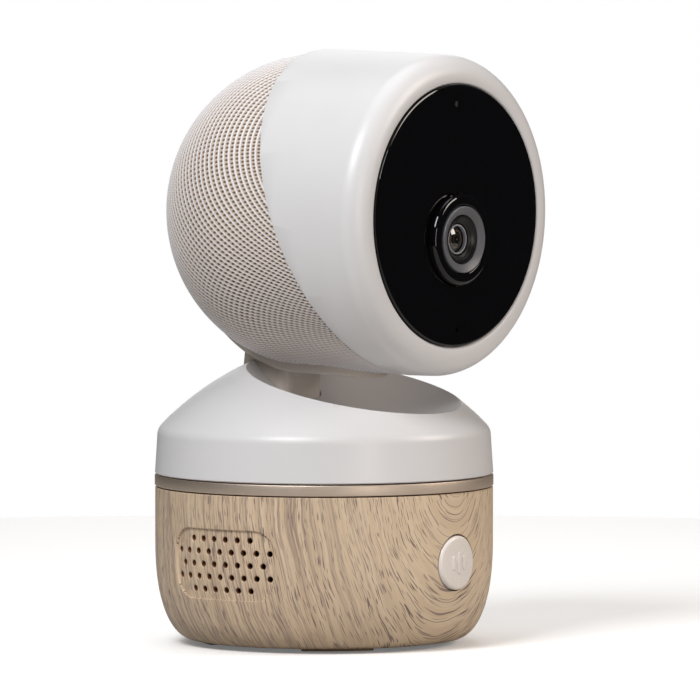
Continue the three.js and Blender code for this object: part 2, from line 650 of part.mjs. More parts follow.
// A disc behind the boards with two cheeks running back to the tilt axle.
function headFrame() {
  const { back, front, radius, cheekIn, cheekOut, cheekHalf } = FRAME;
  const disc = rod(radius, back, front, 'front', [0, 0], SEGMENTS.medium)
    .subtract(rod(7, back - 1, front + 1, 'front', [0, -LENS.drop]));
  const root = -back - 0.5;
  const arm = polygon([[root, -cheekHalf], ...arc([0, 0], cheekHalf, -90, 90, 8), [root, cheekHalf]]);
  const ear = polygon([...arc([-TILT.forward, TILT.above], 6.5, 20, 160, 5), [root, 4], [0, 4]]);
  const left = prism(arm, -cheekOut, -cheekIn, 'side');
  const right = joined([prism(arm, cheekIn, cheekOut, 'side'), prism(ear, cheekIn, cheekOut, 'side')]);
  const bores = rod(AXLE.bush + GAP, -20, 20, 'side');
  const shaftHole = rod(1.5 + 2 * GAP, 5, 20, 'side', [-TILT.forward, TILT.above], 12);
  const screws = joined(CASING_POST.angles.map((degrees) => (
    rod(1.3, back - 1, front + 1, 'front', around(CASING_POST.ring, degrees), 8))));
  return joined([disc, left, right]).subtract(joined([bores, shaftHole, screws]));
}

function tiltBush(side) {
  const { cheekIn, cheekOut } = FRAME;
  const { radius, bush, flange } = AXLE;
  const start = cheekOut + GAP;
  const end = start + 0.8;
  const profile = [[radius + GAP, cheekIn], [bush, cheekIn], [bush, start], [flange, start], [flange, end],
    [radius + GAP, end]];
  const right = turned(profile, 'side', SEGMENTS.small);
  return side > 0 ? right : right.rotate([0, 0, 180]);
}

// ---------------------------------------------------------------- assembly

const camera = new THREE.Group();
const base = new THREE.Group();
const turret = new THREE.Group();
const head = new THREE.Group();
head.position.set(0, 0, HEAD.height);
camera.add(base, turret);
turret.add(head);

function add(group, name, solid, material) {
  const { vertProperties, triVerts } = solid.getMesh();
  const geometry = new THREE.BufferGeometry();
  geometry.setAttribute('position', new THREE.BufferAttribute(vertProperties, 3));
  geometry.setIndex(new THREE.BufferAttribute(triVerts, 1));
  geometry.computeVertexNormals();
  const mesh = new THREE.Mesh(geometry, material);
  mesh.name = name;
  group.add(mesh);
}

add(base, 'base_bowl', baseBowl(), FINISH.woodFilm);
add(base, 'trim_ring', trimRing(), FINISH.champagne);
add(base, 'base_plate', basePlate(), FINISH.blackPlastic);
postAngles.forEach((degrees, i) => {
  add(base, `foot_${i + 1}`, foot(degrees), FINISH.rubber);
  const place = around(BASE_POST.ring, degrees);
  add(base, `base_screw_${i + 1}`, screw(PLATE.screwSink, 11, 'up', place), FINISH.steel);
});
add(base, 'base_chassis', baseChassis(), FINISH.blackPlastic);
add(base, 'ballast_weight', ballastWeight(), FINISH.steel);
add(base, 'main_board', mainBoard(), FINISH.board);
add(base, 'power_socket', powerSocket(), FINISH.blackPlastic);
add(base, 'speaker_frame', speakerFrame(), FINISH.blackPlastic);
add(base, 'speaker_cone', speakerCone(), FINISH.paper);
add(base, 'speaker_magnet', speakerMagnet(), FINISH.steel);
add(base, 'pan_motor', stepperMotor(9.8, 18.6, 30.7, 'up', [panCentre, 0]), FINISH.steel);
add(base, 'pan_retainer', panRetainer(), FINISH.steel);
add(base, 'button_switch', buttonSwitch(), FINISH.board);
add(base, 'call_button', callButton(), FINISH.button);
const panPinion = pinion(PAN.pinionTeeth, PAN.ringBottom + GAP, PAN.pinionTop, 'up', [panCentre, 0], 24, 0);
add(base, 'pan_pinion', panPinion, FINISH.acetal);

add(turret, 'collar', collar(), FINISH.pearlPlastic);
add(turret, 'turntable', turntable(), FINISH.blackPlastic);
add(turret, 'turret_gear', turretGear(), FINISH.acetal);
add(turret, 'pan_bush', panBush(), FINISH.acetal);
add(turret, 'neck', neck(), FINISH.neckPlastic);
add(turret, 'tilt_axle', tiltAxle(), FINISH.steel);
add(turret, 'tilt_gear', tiltGear(), FINISH.acetal);
NECK_SCREW.angles.forEach((degrees, i) => {
  const place = around(NECK_SCREW.ring, degrees);
  add(turret, `neck_screw_${i + 1}`, screw(NECK.foot + NECK.floor + GAP, 39, 'up', place), FINISH.steel);
});
COLLAR_POST.angles.forEach((degrees, i) => {
  const place = around(COLLAR_POST.ring, degrees);
  add(turret, `collar_screw_${i + 1}`, screw(TURNTABLE.bottom - GAP, 47, 'up', place), FINISH.steel);
});

add(head, 'head_casing', headCasing(), FINISH.pearlPlastic);
add(head, 'rear_shell', rearShell(), FINISH.blackPlastic);
add(head, 'fabric_cover', fabricCover(), FINISH.knit);
add(head, 'slot_frame', slotFrame(), FINISH.neckPlastic);
add(head, 'front_panel', frontPanel(), FINISH.blackGloss);
add(head, 'lens_hood', lensHood(), FINISH.blackGloss);
add(head, 'lens_ring', lensRing(), FINISH.greyRing);
add(head, 'lens_barrel', lensBarrel(), FINISH.blackPlastic);
add(head, 'lens_retainer', lensRetainer(), FINISH.silver);
add(head, 'lens_glass', lensGlass(), FINISH.glass);
add(head, 'sensor_board', sensorBoard(), FINISH.board);
add(head, 'infrared_board', infraredBoard(), FINISH.board);
INFRARED.places.forEach(([x, z], i) => {
  add(head, `infrared_light_${i + 1}`, infraredLight(x, z), FINISH.glass);
});
add(head, 'status_light', statusLight(), FINISH.acetal);
add(head, 'microphone', microphone(), FINISH.steel);
add(head, 'head_frame', headFrame(), FINISH.blackPlastic);
add(head, 'tilt_bush_left', tiltBush(-1), FINISH.acetal);
add(head, 'tilt_bush_right', tiltBush(1), FINISH.acetal);
add(head, 'tilt_motor', stepperMotor(8, 24, 11.85, 'side', [-TILT.forward, TILT.above]), FINISH.steel);
const pinionStart = tiltAngle + Math.PI + Math.PI / TILT.pinionTeeth;
const tiltPinion = pinion(TILT.pinionTeeth, TILT.inside, TILT.outside - GAP, 'side',
  [-TILT.forward, TILT.above], 18, pinionStart);
add(head, 'tilt_pinion', tiltPinion, FINISH.acetal);
CASING_POST.angles.forEach((degrees, i) => {
  const place = around(CASING_POST.ring, degrees);
  const fastener = screw(FRAME.back - GAP, FRAME.front + 5.5, 'front', place, 0.8, 1.6);
  add(head, `head_screw_${i + 1}`, fastener, FINISH.steel);
});

export default camera;
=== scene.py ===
"""Baby monitor camera: a round head on a neck, above a wood-effect base that it pans on.

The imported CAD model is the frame. Pieces that show get smooth, detailed meshes and finishes here, and
the pieces inside keep their CAD meshes and get a finish. Sizes are in millimetres, places in the part's
own frame: +Z up, the lens looks along -Y, and the origin is on the pan axis level with the feet.
"""
import json
import logging
import math
from dataclasses import dataclass
from enum import Enum
from typing import Callable, Iterable, Sequence

import bpy
import numpy as np
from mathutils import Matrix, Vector


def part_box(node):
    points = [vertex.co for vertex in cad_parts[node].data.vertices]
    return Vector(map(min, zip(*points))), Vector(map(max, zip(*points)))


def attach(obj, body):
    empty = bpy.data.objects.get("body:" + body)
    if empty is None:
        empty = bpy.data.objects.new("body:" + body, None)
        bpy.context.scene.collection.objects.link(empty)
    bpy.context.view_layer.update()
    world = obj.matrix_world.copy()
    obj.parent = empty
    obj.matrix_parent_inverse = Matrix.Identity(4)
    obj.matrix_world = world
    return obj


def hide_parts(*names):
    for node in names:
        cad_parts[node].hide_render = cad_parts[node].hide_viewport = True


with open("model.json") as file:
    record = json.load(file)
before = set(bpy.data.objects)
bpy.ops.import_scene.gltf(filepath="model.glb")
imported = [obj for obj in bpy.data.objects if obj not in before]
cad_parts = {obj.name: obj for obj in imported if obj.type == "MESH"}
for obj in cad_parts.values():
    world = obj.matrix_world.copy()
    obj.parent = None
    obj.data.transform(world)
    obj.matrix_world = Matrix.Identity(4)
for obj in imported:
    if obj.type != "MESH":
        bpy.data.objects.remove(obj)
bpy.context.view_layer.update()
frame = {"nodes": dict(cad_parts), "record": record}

log = logging.getLogger("baby_monitor_camera")

MM = 0.001
HEAD_HEIGHT = 101.47  # the tilt axle above the feet
LENS_DROP = 5.5  # the lens below the axle
BASE_RADIUS = 39.8
TONE_PATCH = 14.0  # how far a moulding's tone drifts
COAT_ROUGHNESS = 0.08

Point = tuple[float, float]
Streak = tuple[float, float, float]  # a streak's width and length in millimetres, and its noise's detail
Wrap = Callable[[np.ndarray], np.ndarray]


# ---------------------------------------------------------------- node and colour helpers


def linear(hex_colour: str) -> tuple[float, float, float, float]:
    """Turns an sRGB hex colour into Blender's linear RGBA.

    Args:
        hex_colour: "#RRGGBB".

    Returns:
        The colour in linear light, with full alpha.
    """
    channels = [int(hex_colour[i:i + 2], 16) / 255 for i in (1, 3, 5)]
    return (*[c / 12.92 if c <= 0.04045 else ((c + 0.055) / 1.055) ** 2.4 for c in channels], 1.0)


def add_node(
    tree: bpy.types.NodeTree,
    kind: str,
    inputs: dict | None = None,
    stops: Sequence[tuple[float, str]] = (),
    **settings,
) -> bpy.types.Node:
    """Adds a node with its settings, its socket values and its links.

    Args:
        tree: the node tree it goes in.
        kind: the node's type after "ShaderNode".
        inputs: socket name or number to a value, or to the output it is linked from.
        stops: a colour ramp's positions and hex colours.
        **settings: the node's own properties.

    Returns:
        The node.
    """
    made = tree.nodes.new("ShaderNode" + kind)
    for name, value in settings.items():
        setattr(made, name, value)
    for socket, value in (inputs or {}).items():
        if isinstance(value, bpy.types.NodeSocket):
            tree.links.new(value, made.inputs[socket])
        else:
            made.inputs[socket].default_value = value
    for i, (position, hex_colour) in enumerate(stops):
        ramp = made.color_ramp.elements
        stop = ramp[i] if i < 2 else ramp.new(position)
        stop.position = position
        stop.color = linear(hex_colour)
    return made


# ---------------------------------------------------------------- finishes


@dataclass(frozen=True)
class Finish:
    """A named finish that builds its material once.

    Args:
        name: the material's name, for the real finish.
        slot: the record's material slot.
    """

    name: str
    slot: str

    def material(self) -> bpy.types.Material:
        """Returns this finish's material, made on first use."""
        known = bpy.data.materials.get(self.name)
        if known:
            return known
        made = bpy.data.materials.new(self.name)
        made.use_nodes = True
        tree = made.node_tree
        shader = next(n for n in tree.nodes if n.type == "BSDF_PRINCIPLED")
        self.shade(tree, shader, add_node(tree, "TexCoord").outputs["Object"])
        return made

    def shade(self, tree: bpy.types.NodeTree, shader: bpy.types.Node, place: bpy.types.NodeSocket) -> None:
        """Links the finish's pattern to its shader.

        Args:
            tree: the material's node tree.
            shader: its surface shader.
            place: the Object coordinates.
        """
        raise NotImplementedError


@dataclass(frozen=True)
class Moulded(Finish):
    """Moulded or pressed material with a fine grain, a slow drift of tone and an uneven gloss.

    Args:
        colour: the usual tone.
        drift: the tone it drifts to.
        roughness: the least and the most.
        grain: the grain's size in millimetres.
        relief: how deep the grain is, in millimetres.
        ior: index of refraction.
        coat: strength of a clear coat.
        metallic: 1 for a metal.
    """

    colour: str
    drift: str
    roughness: tuple[float, float]
    grain: float = 0.4
    relief: float = 0.004
    ior: float = 1.46
    coat: float = 0.0
    metallic: float = 0.0

    def shade(self, tree: bpy.types.NodeTree, shader: bpy.types.Node, place: bpy.types.NodeSocket) -> None:
        """Links tone to a slow noise, and gloss and bump to the grain."""
        slow = add_node(tree, "TexNoise", {"Vector": place, "Scale": 1 / (TONE_PATCH * MM), "Detail": 3.0})
        fine = add_node(tree, "TexNoise", {"Vector": place, "Scale": 1 / (self.grain * MM), "Detail": 2.0})
        tone = add_node(
            tree, "Mix",
            {"Factor": slow.outputs["Fac"], 6: linear(self.colour), 7: linear(self.drift)},
            data_type="RGBA",
        )
        low, high = self.roughness
        gloss = add_node(
            tree, "MapRange",
            {"Value": fine.outputs["Fac"], "From Min": 0.3, "From Max": 0.7, "To Min": low, "To Max": high},
        )
        bump = add_node(
            tree, "Bump", {"Height": fine.outputs["Fac"], "Distance": self.relief * MM, "Strength": 1.0}
        )
        tree.links.new(tone.outputs[2], shader.inputs["Base Color"])
        tree.links.new(gloss.outputs[0], shader.inputs["Roughness"])
        tree.links.new(bump.outputs["Normal"], shader.inputs["Normal"])
        shader.inputs["Metallic"].default_value = self.metallic
        if not self.metallic:
            shader.inputs["IOR"].default_value = self.ior
        shader.inputs["Coat Weight"].default_value = self.coat
        shader.inputs["Coat Roughness"].default_value = COAT_ROUGHNESS


@dataclass(frozen=True)
class WoodFilm(Finish):
    """Printed light-oak film, satin: pale bands with short dark pores, in nested arches about the button.

    Args:
        arch_height: where the arches close, above the feet.
        arch_shape: how much taller the arches are than they are wide.
        wander: how far the grain strays, and over what distance, in millimetres.
        band, pore, cluster, vein: the streaks of each kind.
        band_tones: the darker and the lighter band.
        pore_tone: the short dark dashes.
        vein_tone: the long grey lines on the side.
        side: between which places along X the side's veins and its painted shade come in, in millimetres.
        side_tint_and_shade: what the side's wood is multiplied by: partly the print's greyer tone, partly
            painted shade on that side.
        vein_strength, tint_and_shade_strength: how strongly the veins and the tint with its painted shade
            show there.
        print_depth: how deep the printed pores are pressed in, in millimetres.
        ior: index of refraction.
    """

    arch_height: float = 43.0
    arch_shape: float = 1.6
    wander: Point = (3.0, 16.0)
    band: Streak = (1.3, 30.0, 2.0)
    pore: Streak = (0.20, 3.4, 0.0)
    cluster: Streak = (5.0, 16.0, 1.0)
    vein: Streak = (0.6, 40.0, 1.0)
    band_tones: tuple[str, str] = ("#CFB89B", "#DDC8AC")
    pore_tone: str = "#6E5B5D"
    vein_tone: str = "#97847A"
    side: Point = (-14.0, -34.0)
    side_tint_and_shade: str = "#E6DCD6"
    vein_strength: float = 0.7
    tint_and_shade_strength: float = 0.3
    print_depth: float = 0.03
    ior: float = 1.48

    def shade(self, tree: bpy.types.NodeTree, shader: bpy.types.Node, place: bpy.types.NodeSocket) -> None:
        """Draws the arches as one distance, and streaks of each kind along them."""
        axes = add_node(tree, "SeparateXYZ", {"Vector": place}).outputs
        front = add_node(tree, "Math", {0: axes["Y"], 1: -1.0}, operation="MULTIPLY").outputs[0]
        turn = add_node(tree, "Math", {0: axes["X"], 1: front}, operation="ARCTAN2").outputs[0]
        across = add_node(tree, "Math", {0: turn, 1: BASE_RADIUS * MM}, operation="MULTIPLY").outputs[0]
        rise = add_node(tree, "Math", {0: axes["Z"], 1: -self.arch_height * MM}, operation="ADD").outputs[0]
        squat = add_node(tree, "Math", {0: rise, 1: 1 / self.arch_shape}, operation="MULTIPLY").outputs[0]
        flat = add_node(tree, "CombineXYZ", {"X": across, "Y": squat}).outputs[0]
        arch = add_node(tree, "VectorMath", {0: flat}, operation="LENGTH").outputs["Value"]
        reach, patch = self.wander
        stray = add_node(
            tree, "TexNoise", {"Vector": place, "Scale": 1 / (patch * MM), "Detail": 2.0}
        ).outputs["Fac"]
        bent = add_node(
            tree, "Math", {0: stray, 1: reach * MM, 2: arch}, operation="MULTIPLY_ADD"
        ).outputs[0]

        def streaks(streak: Streak) -> bpy.types.NodeSocket:
            """Noise drawn out along the arches."""
            width, length, detail = streak
            slide = add_node(
                tree, "VectorMath", {0: place, 1: (1 / (length * MM),) * 3}, operation="MULTIPLY"
            ).outputs[0]
            step = add_node(tree, "Math", {0: bent, 1: 1 / (width * MM)}, operation="MULTIPLY").outputs[0]
            apart = add_node(tree, "CombineXYZ", {"X": step}).outputs[0]
            where = add_node(tree, "VectorMath", {0: slide, 1: apart}, operation="ADD").outputs[0]
            return add_node(
                tree, "TexNoise", {"Vector": where, "Scale": 1.0, "Detail": detail, "Roughness": 0.6}
            ).outputs["Fac"]

        darker, lighter = self.band_tones
        band = add_node(tree, "ValToRGB", {"Fac": streaks(self.band)}, [(0.30, darker), (0.66, lighter)])
        pores = add_node(
            tree, "ValToRGB", {"Fac": streaks(self.pore)}, [(0.62, "#000000"), (0.68, "#FFFFFF")]
        )
        cluster = add_node(
            tree, "MapRange",
            {"Value": streaks(self.cluster),
             "From Min": 0.38, "From Max": 0.58, "To Min": 0.5, "To Max": 0.9},
        )
        amount = add_node(
            tree, "Math", {0: pores.outputs["Color"], 1: cluster.outputs[0]}, operation="MULTIPLY"
        ).outputs[0]
        printed = add_node(
            tree, "Mix", {"Factor": amount, 6: band.outputs["Color"], 7: linear(self.pore_tone)},
            data_type="RGBA",
        )
        start, full = self.side
        side = add_node(
            tree, "MapRange",
            {"Value": axes["X"],
             "From Min": start * MM, "From Max": full * MM, "To Min": 0.0, "To Max": 1.0},
        ).outputs[0]
        veins = add_node(
            tree, "ValToRGB", {"Fac": streaks(self.vein)}, [(0.46, "#000000"), (0.66, "#FFFFFF")]
        )
        placed = add_node(
            tree, "Math", {0: veins.outputs["Color"], 1: side}, operation="MULTIPLY"
        ).outputs[0]
        veined = add_node(tree, "Math", {0: placed, 1: self.vein_strength}, operation="MULTIPLY").outputs[0]
        lined = add_node(
            tree, "Mix", {"Factor": veined, 6: printed.outputs[2], 7: linear(self.vein_tone)},
            data_type="RGBA",
        )
        # Painted shade: the -X side is multiplied greyer and darker, partly the print's own tone there and
        # partly shade painted in.
        greyer_and_shaded = add_node(tree, "Math", {0: side, 1: self.tint_and_shade_strength}, operation="MULTIPLY").outputs[0]
        grey = add_node(
            tree, "Mix", {"Factor": greyer_and_shaded, 6: lined.outputs[2], 7: linear(self.side_tint_and_shade)},
            data_type="RGBA", blend_type="MULTIPLY",
        )
        tree.links.new(grey.outputs[2], shader.inputs["Base Color"])
        gloss = add_node(
            tree, "MapRange",
            {"Value": amount, "From Min": 0.0, "From Max": 1.0, "To Min": 0.42, "To Max": 0.6},
        )
        tree.links.new(gloss.outputs[0], shader.inputs["Roughness"])
        bump = add_node(
            tree, "Bump", {"Height": amount, "Distance": self.print_depth * MM, "Strength": 0.6},
            invert=True,
        )
        tree.links.new(bump.outputs["Normal"], shader.inputs["Normal"])
        shader.inputs["IOR"].default_value = self.ior


@dataclass(frozen=True)
class KnitYarn(Finish):
    """Stretched polyester mesh knit: off-white lines of loops, tan threads between them and dark pits.

    Args:
        cells: cells along the map's full width.
        wale: colour of the raised lines of loops.
        bar: colour of the thread that crosses between two pits.
        pit: colour at the bottom of a pit.
        pit_edge: from where a pit is dark to where it ends, in parts of a cell from its middle.
        bar_edge: from where a crossing thread is tan to where the line of loops starts, likewise.
        fuzz: size of the loose fibres that blur a pit's edge, in millimetres.
        fibre: size and depth of the yarn's own fibres, in millimetres; drawn coarse, so that they show.
    """

    cells: int = 110
    wale: str = "#E8E6E9"
    bar: str = "#BCA489"
    pit: str = "#5C483B"
    pit_edge: Point = (0.24, 0.46)
    bar_edge: Point = (0.24, 0.42)
    fuzz: float = 0.35
    fibre: Point = (0.18, 0.06)

    def shade(self, tree: bpy.types.NodeTree, shader: bpy.types.Node, place: bpy.types.NodeSocket) -> None:
        """Colours each cell of the piece's own lattice map, with loose fibres over it."""
        lattice = add_node(tree, "UVMap", uv_map="lattice").outputs[0]
        counted = add_node(
            tree, "VectorMath", {0: lattice, 1: (self.cells, self.cells, 1.0)}, operation="MULTIPLY"
        ).outputs[0]
        inside = add_node(tree, "VectorMath", {0: counted}, operation="FRACTION").outputs[0]
        middle = add_node(
            tree, "VectorMath", {0: inside, 1: (0.5, 0.5, 0.0)}, operation="DISTANCE"
        ).outputs["Value"]
        loose = add_node(
            tree, "TexNoise", {"Vector": place, "Scale": 1 / (self.fuzz * MM), "Detail": 3.0}
        ).outputs["Fac"]
        edge = add_node(tree, "Math", {0: loose, 1: 0.16, 2: middle}, operation="MULTIPLY_ADD").outputs[0]
        across = add_node(tree, "SeparateXYZ", {"Vector": inside}).outputs["X"]
        aside = add_node(tree, "Math", {0: across, 1: -0.5}, operation="ADD").outputs[0]
        beside = add_node(tree, "Math", {0: aside}, operation="ABSOLUTE").outputs[0]
        start, end = self.bar_edge
        crossing = add_node(
            tree, "MapRange",
            {"Value": beside, "From Min": start, "From Max": end, "To Min": 0.75, "To Max": 0.0},
        ).outputs[0]
        net = add_node(
            tree, "Mix", {"Factor": crossing, 6: linear(self.wale), 7: linear(self.bar)}, data_type="RGBA"
        ).outputs[2]
        start, end = self.pit_edge
        depth = add_node(
            tree, "MapRange",
            {"Value": edge, "From Min": start, "From Max": end, "To Min": 1.0, "To Max": 0.0},
        ).outputs[0]
        yarn = add_node(
            tree, "Mix", {"Factor": depth, 6: net, 7: linear(self.pit)}, data_type="RGBA"
        ).outputs[2]
        tree.links.new(yarn, shader.inputs["Base Color"])
        size, relief = self.fibre
        fibres = add_node(
            tree, "TexNoise", {"Vector": place, "Scale": 1 / (size * MM), "Detail": 2.0}
        ).outputs["Fac"]
        bump = add_node(tree, "Bump", {"Height": fibres, "Distance": relief * MM, "Strength": 0.7})
        tree.links.new(bump.outputs["Normal"], shader.inputs["Normal"])
        shader.inputs["Roughness"].default_value = 0.85
        shader.inputs["Sheen Weight"].default_value = 0.1
        shader.inputs["Sheen Roughness"].default_value = 0.5
        shader.inputs["Specular IOR Level"].default_value = 0.25


@dataclass(frozen=True)
class CoatedGlass(Finish):
    """Coated optical glass: near-black, with thin gold rings and a pale middle painted into its colour as
    reflections from its coatings.

    Args:
        rim: the radius at which the ramp of painted reflection rings ends, in millimetres.
        smear: size of the patches where the gloss varies, in millimetres.
    """

    rim: float = 3.2
    smear: float = 1.6

    def shade(self, tree: bpy.types.NodeTree, shader: bpy.types.Node, place: bpy.types.NodeSocket) -> None:
        """Colours the glass by its distance from the lens axis: painted reflections, gold rings and a pale
        middle.
        """
        centred = add_node(
            tree, "Mapping", {"Vector": place, "Location": (0.0, 0.0, -(HEAD_HEIGHT - LENS_DROP) * MM)}
        ).outputs[0]
        flat = add_node(
            tree, "VectorMath", {0: centred, 1: (1.0, 0.0, 1.0)}, operation="MULTIPLY"
        ).outputs[0]
        radius = add_node(tree, "VectorMath", {0: flat}, operation="LENGTH").outputs["Value"]
        share = add_node(tree, "Math", {0: radius, 1: 1 / (self.rim * MM)}, operation="MULTIPLY").outputs[0]
        # Painted reflections: the pale middle and the two gold rings in this ramp stand in for light caught
        # by the coatings.
        rings = add_node(
            tree, "ValToRGB", {"Fac": share},
            [(0.0, "#8A7A66"), (0.07, "#0A0A0C"), (0.30, "#0B0B0C"), (0.36, "#3E372C"), (0.42, "#0A0A0B"),
             (0.56, "#141210"), (0.62, "#6B5B40"), (0.67, "#0C0B0B"), (0.82, "#1B1A1C"), (0.9, "#08080A")],
        )
        patches = add_node(
            tree, "TexNoise", {"Vector": place, "Scale": 1 / (self.smear * MM), "Detail": 1.0}
        ).outputs["Fac"]
        gloss = add_node(tree, "MapRange", {"Value": patches, "To Min": 0.02, "To Max": 0.08})
        tree.links.new(rings.outputs["Color"], shader.inputs["Base Color"])
        tree.links.new(gloss.outputs[0], shader.inputs["Roughness"])
        shader.inputs["IOR"].default_value = 1.6
        shader.inputs["Coat Weight"].default_value = 0.5


@dataclass(frozen=True)
class CircuitLaminate(Finish):
    """Green solder mask over copper tracks, seen as slightly lighter lines.

    Args:
        track_gap: distance between tracks, in millimetres.
    """

    track_gap: float = 1.3

    def shade(self, tree: bpy.types.NodeTree, shader: bpy.types.Node, place: bpy.types.NodeSocket) -> None:
        """Draws tracks as the edges of a square-celled pattern."""
        cells = add_node(
            tree, "TexVoronoi", {"Vector": place, "Scale": 1 / (self.track_gap * MM), "Randomness": 0.6},
            feature="F1", distance="MANHATTAN",
        )
        mask = add_node(
            tree, "ValToRGB", {"Fac": cells.outputs["Distance"]}, [(0.35, "#174A30"), (0.6, "#2C6B45")]
        )
        tree.links.new(mask.outputs["Color"], shader.inputs["Base Color"])
        shader.inputs["Roughness"].default_value = 0.4


# Pearl ABS, fine spark-eroded mould: off-white with a soft satin highlight and no visible grain.
PEARL = Moulded("pearl_abs", "pearl_plastic", "#DAD9DA", "#D5D4D5", (0.30, 0.42), 0.3, 0.003, 1.5)
# The neck and slot rim, matt ABS: a shade warmer and duller than the covers.
NECK = Moulded("matt_warm_abs", "neck_plastic", "#D2C9C0", "#C9C0B6", (0.48, 0.58), 0.35, 0.004)
# Button cap, polished ABS: warm off-white with a clear highlight.
BUTTON = Moulded(
    "polished_abs_button", "button_plastic", "#EAE3DD", "#E6DED7", (0.24, 0.28), 0.5, 0.0002, 1.5,
)
# Vacuum-metallised champagne trim: a metal band with a fine sparkle in its gloss.
CHAMPAGNE = Moulded(
    "champagne_metallised_trim", "champagne_metal", "#DFD0C1", "#CCBDAD", (0.40, 0.58), 0.16, 0.024,
    metallic=1.0,
)
# Oak print under a satin lacquer: pale tan, its pores short dark dashes.
WOOD = WoodFilm("printed_light_oak_film", "wood_film")
# The bowl's own brown ABS, seen inside the speaker's holes.
BROWN = Moulded("brown_abs", "wood_film", "#8A5E40", "#7C5338", (0.5, 0.6), 0.4, 0.004)
# Polyester yarn, textured and knitted: dry and matt, with hardly any sheen.
KNIT = KnitYarn("stretched_mesh_knit", "knit_fabric")
# Tinted acrylic window over black ink: deep black with a mirror-like face.
ACRYLIC = Moulded("black_acrylic_window", "panel_gloss", "#050507", "#08070A", (0.03, 0.06), 1.5, 0.0, 1.49)
# Lens ring, satin anodised grey.
GREY_RING = Moulded(
    "satin_grey_anodised", "grey_ring", "#606065", "#57575C", (0.34, 0.46), 0.25, 0.003, 1.5,
)
# Lens retainer, turned and satin: an even grey line.
BRIGHT_RING = Moulded(
    "satin_turned_ring", "bright_ring", "#9A9AA0", "#8C8C92", (0.35, 0.45), 0.25, 0.002, 1.6,
)
# Lens barrel, blackened inside: it swallows nearly all light.
BARREL = Moulded("blackened_barrel", "black_plastic", "#060607", "#09080A", (0.3, 0.4), 0.3, 0.001)
# Lens glass, polished and coated: black, with thin gold rings that are painted reflections.
GLASS = CoatedGlass("coated_optical_glass", "lens_glass")
# Inside plastics, matt black polycarbonate.
BLACK = Moulded("matt_black_polycarbonate", "black_plastic", "#161618", "#1E1D1F", (0.45, 0.6), 0.4, 0.006)
# Foot pads, tan thermoplastic rubber: dry and matt.
RUBBER = Moulded("tan_rubber", "foot_rubber", "#A58C74", "#95795F", (0.75, 0.9), 0.5, 0.02)
# Screws and axle, zinc-plated steel: pale grey and bright.
STEEL = Moulded("zinc_plated_steel", "steel", "#B4B6B8", "#9FA1A6", (0.28, 0.42), 0.5, 0.006, metallic=1.0)
# Motor cans, drawn steel: a duller grey.
MOTOR = Moulded(
    "drawn_motor_can", "motor_steel", "#9DA0A3", "#84878B", (0.35, 0.5), 0.5, 0.008, metallic=1.0,
)
# Gears and bushes, unpigmented acetal: milky white and slippery.
ACETAL = Moulded("natural_acetal", "acetal", "#ECE8DF", "#E2DCD0", (0.4, 0.5), 0.5, 0.004)
# Speaker cone, pressed paper pulp: black and fibrous.
PAPER = Moulded("pressed_paper_cone", "speaker_paper", "#242323", "#343130", (0.85, 0.95), 0.7, 0.05)
# Status light's diffuser, smoky and unlit.
DIFFUSER = Moulded("smoked_light_diffuser", "acetal", "#3A393B", "#333234", (0.2, 0.3), 0.5, 0.002)
# Circuit boards, glass epoxy under green solder mask.
BOARD = CircuitLaminate("green_circuit_board", "circuit_board")


# ---------------------------------------------------------------- modelling helpers


class Axis(Enum):
    """Which way a turned piece's axis points: up, or forwards along -Y."""

    UP = (0.0, 0.0, 1.0)
    FRONT = (0.0, -1.0, 0.0)

    def place(self, radius: float, along: float) -> Vector:
        """Puts a profile's point in the plane that is spun; millimetres in, metres out."""
        return (Vector((radius, 0.0, 0.0)) + Vector(self.value) * along) * MM


def arc(centre: Point, radius: float, start: float, end: float, steps: int) -> list[Point]:
    """Points on a circular arc.

    Args:
        centre: the arc's centre.
        radius: its radius.
        start: the first point's angle, in degrees.
        end: the last point's angle, in degrees.
        steps: segments along it.

    Returns:
        The points, both ends included.
    """
    angles = [math.radians(start + (end - start) * i / steps) for i in range(steps + 1)]
    return [(centre[0] + radius * math.cos(a), centre[1] + radius * math.sin(a)) for a in angles]


def rounded(corners: Sequence[tuple[float, float, float]], steps: int = 4) -> list[Point]:
    """Rounds the corners of a closed outline.

    Args:
        corners: (u, v, radius) for each corner; a radius of 0 keeps it sharp.
        steps: the segments of each rounded corner.

    Returns:
        The outline's points.
    """
    points: list[Point] = []
    for i, (u, v, radius) in enumerate(corners):
        here = Vector((u, v))
        if radius <= 0:
            points.append((u, v))
            continue
        before = (Vector(corners[i - 1][:2]) - here).normalized()
        after = (Vector(corners[(i + 1) % len(corners)][:2]) - here).normalized()
        half = before.angle(after) / 2
        reach = radius / math.tan(half)
        middle = here + (before + after).normalized() * (radius / math.sin(half))
        first, last = here + before * reach - middle, here + after * reach - middle
        turn = math.atan2(first.x * last.y - first.y * last.x, first.dot(last))
        base = math.atan2(first.y, first.x)
        for k in range(steps + 1):
            angle = base + turn * k / steps
            points.append((middle.x + radius * math.cos(angle), middle.y + radius * math.sin(angle)))
    return points


def rounded_rectangle(
    width: float, height: float, corner: float, centre: Point = (0, 0), steps: int = 8
) -> list[Point]:
    """An upright rounded rectangle's outline.

    Args:
        width: its size along u.
        height: its size along v.
        corner: the corners' radius.
        centre: its middle.
        steps: the segments of each corner.

    Returns:
        The outline's points.
    """
    u, v = width / 2, height / 2
    corners = [(u, -v, corner), (u, v, corner), (-u, v, corner), (-u, -v, corner)]
    return [(x + centre[0], y + centre[1]) for x, y in rounded(corners, steps)]


def stadium(half_width: float, low: float, high: float, steps: int = 24) -> list[Point]:
    """A band along v with round ends, from low to high."""
    top = arc((0, high - half_width), half_width, 0, 180, steps)
    return top + arc((0, low + half_width), half_width, 180, 360, steps)


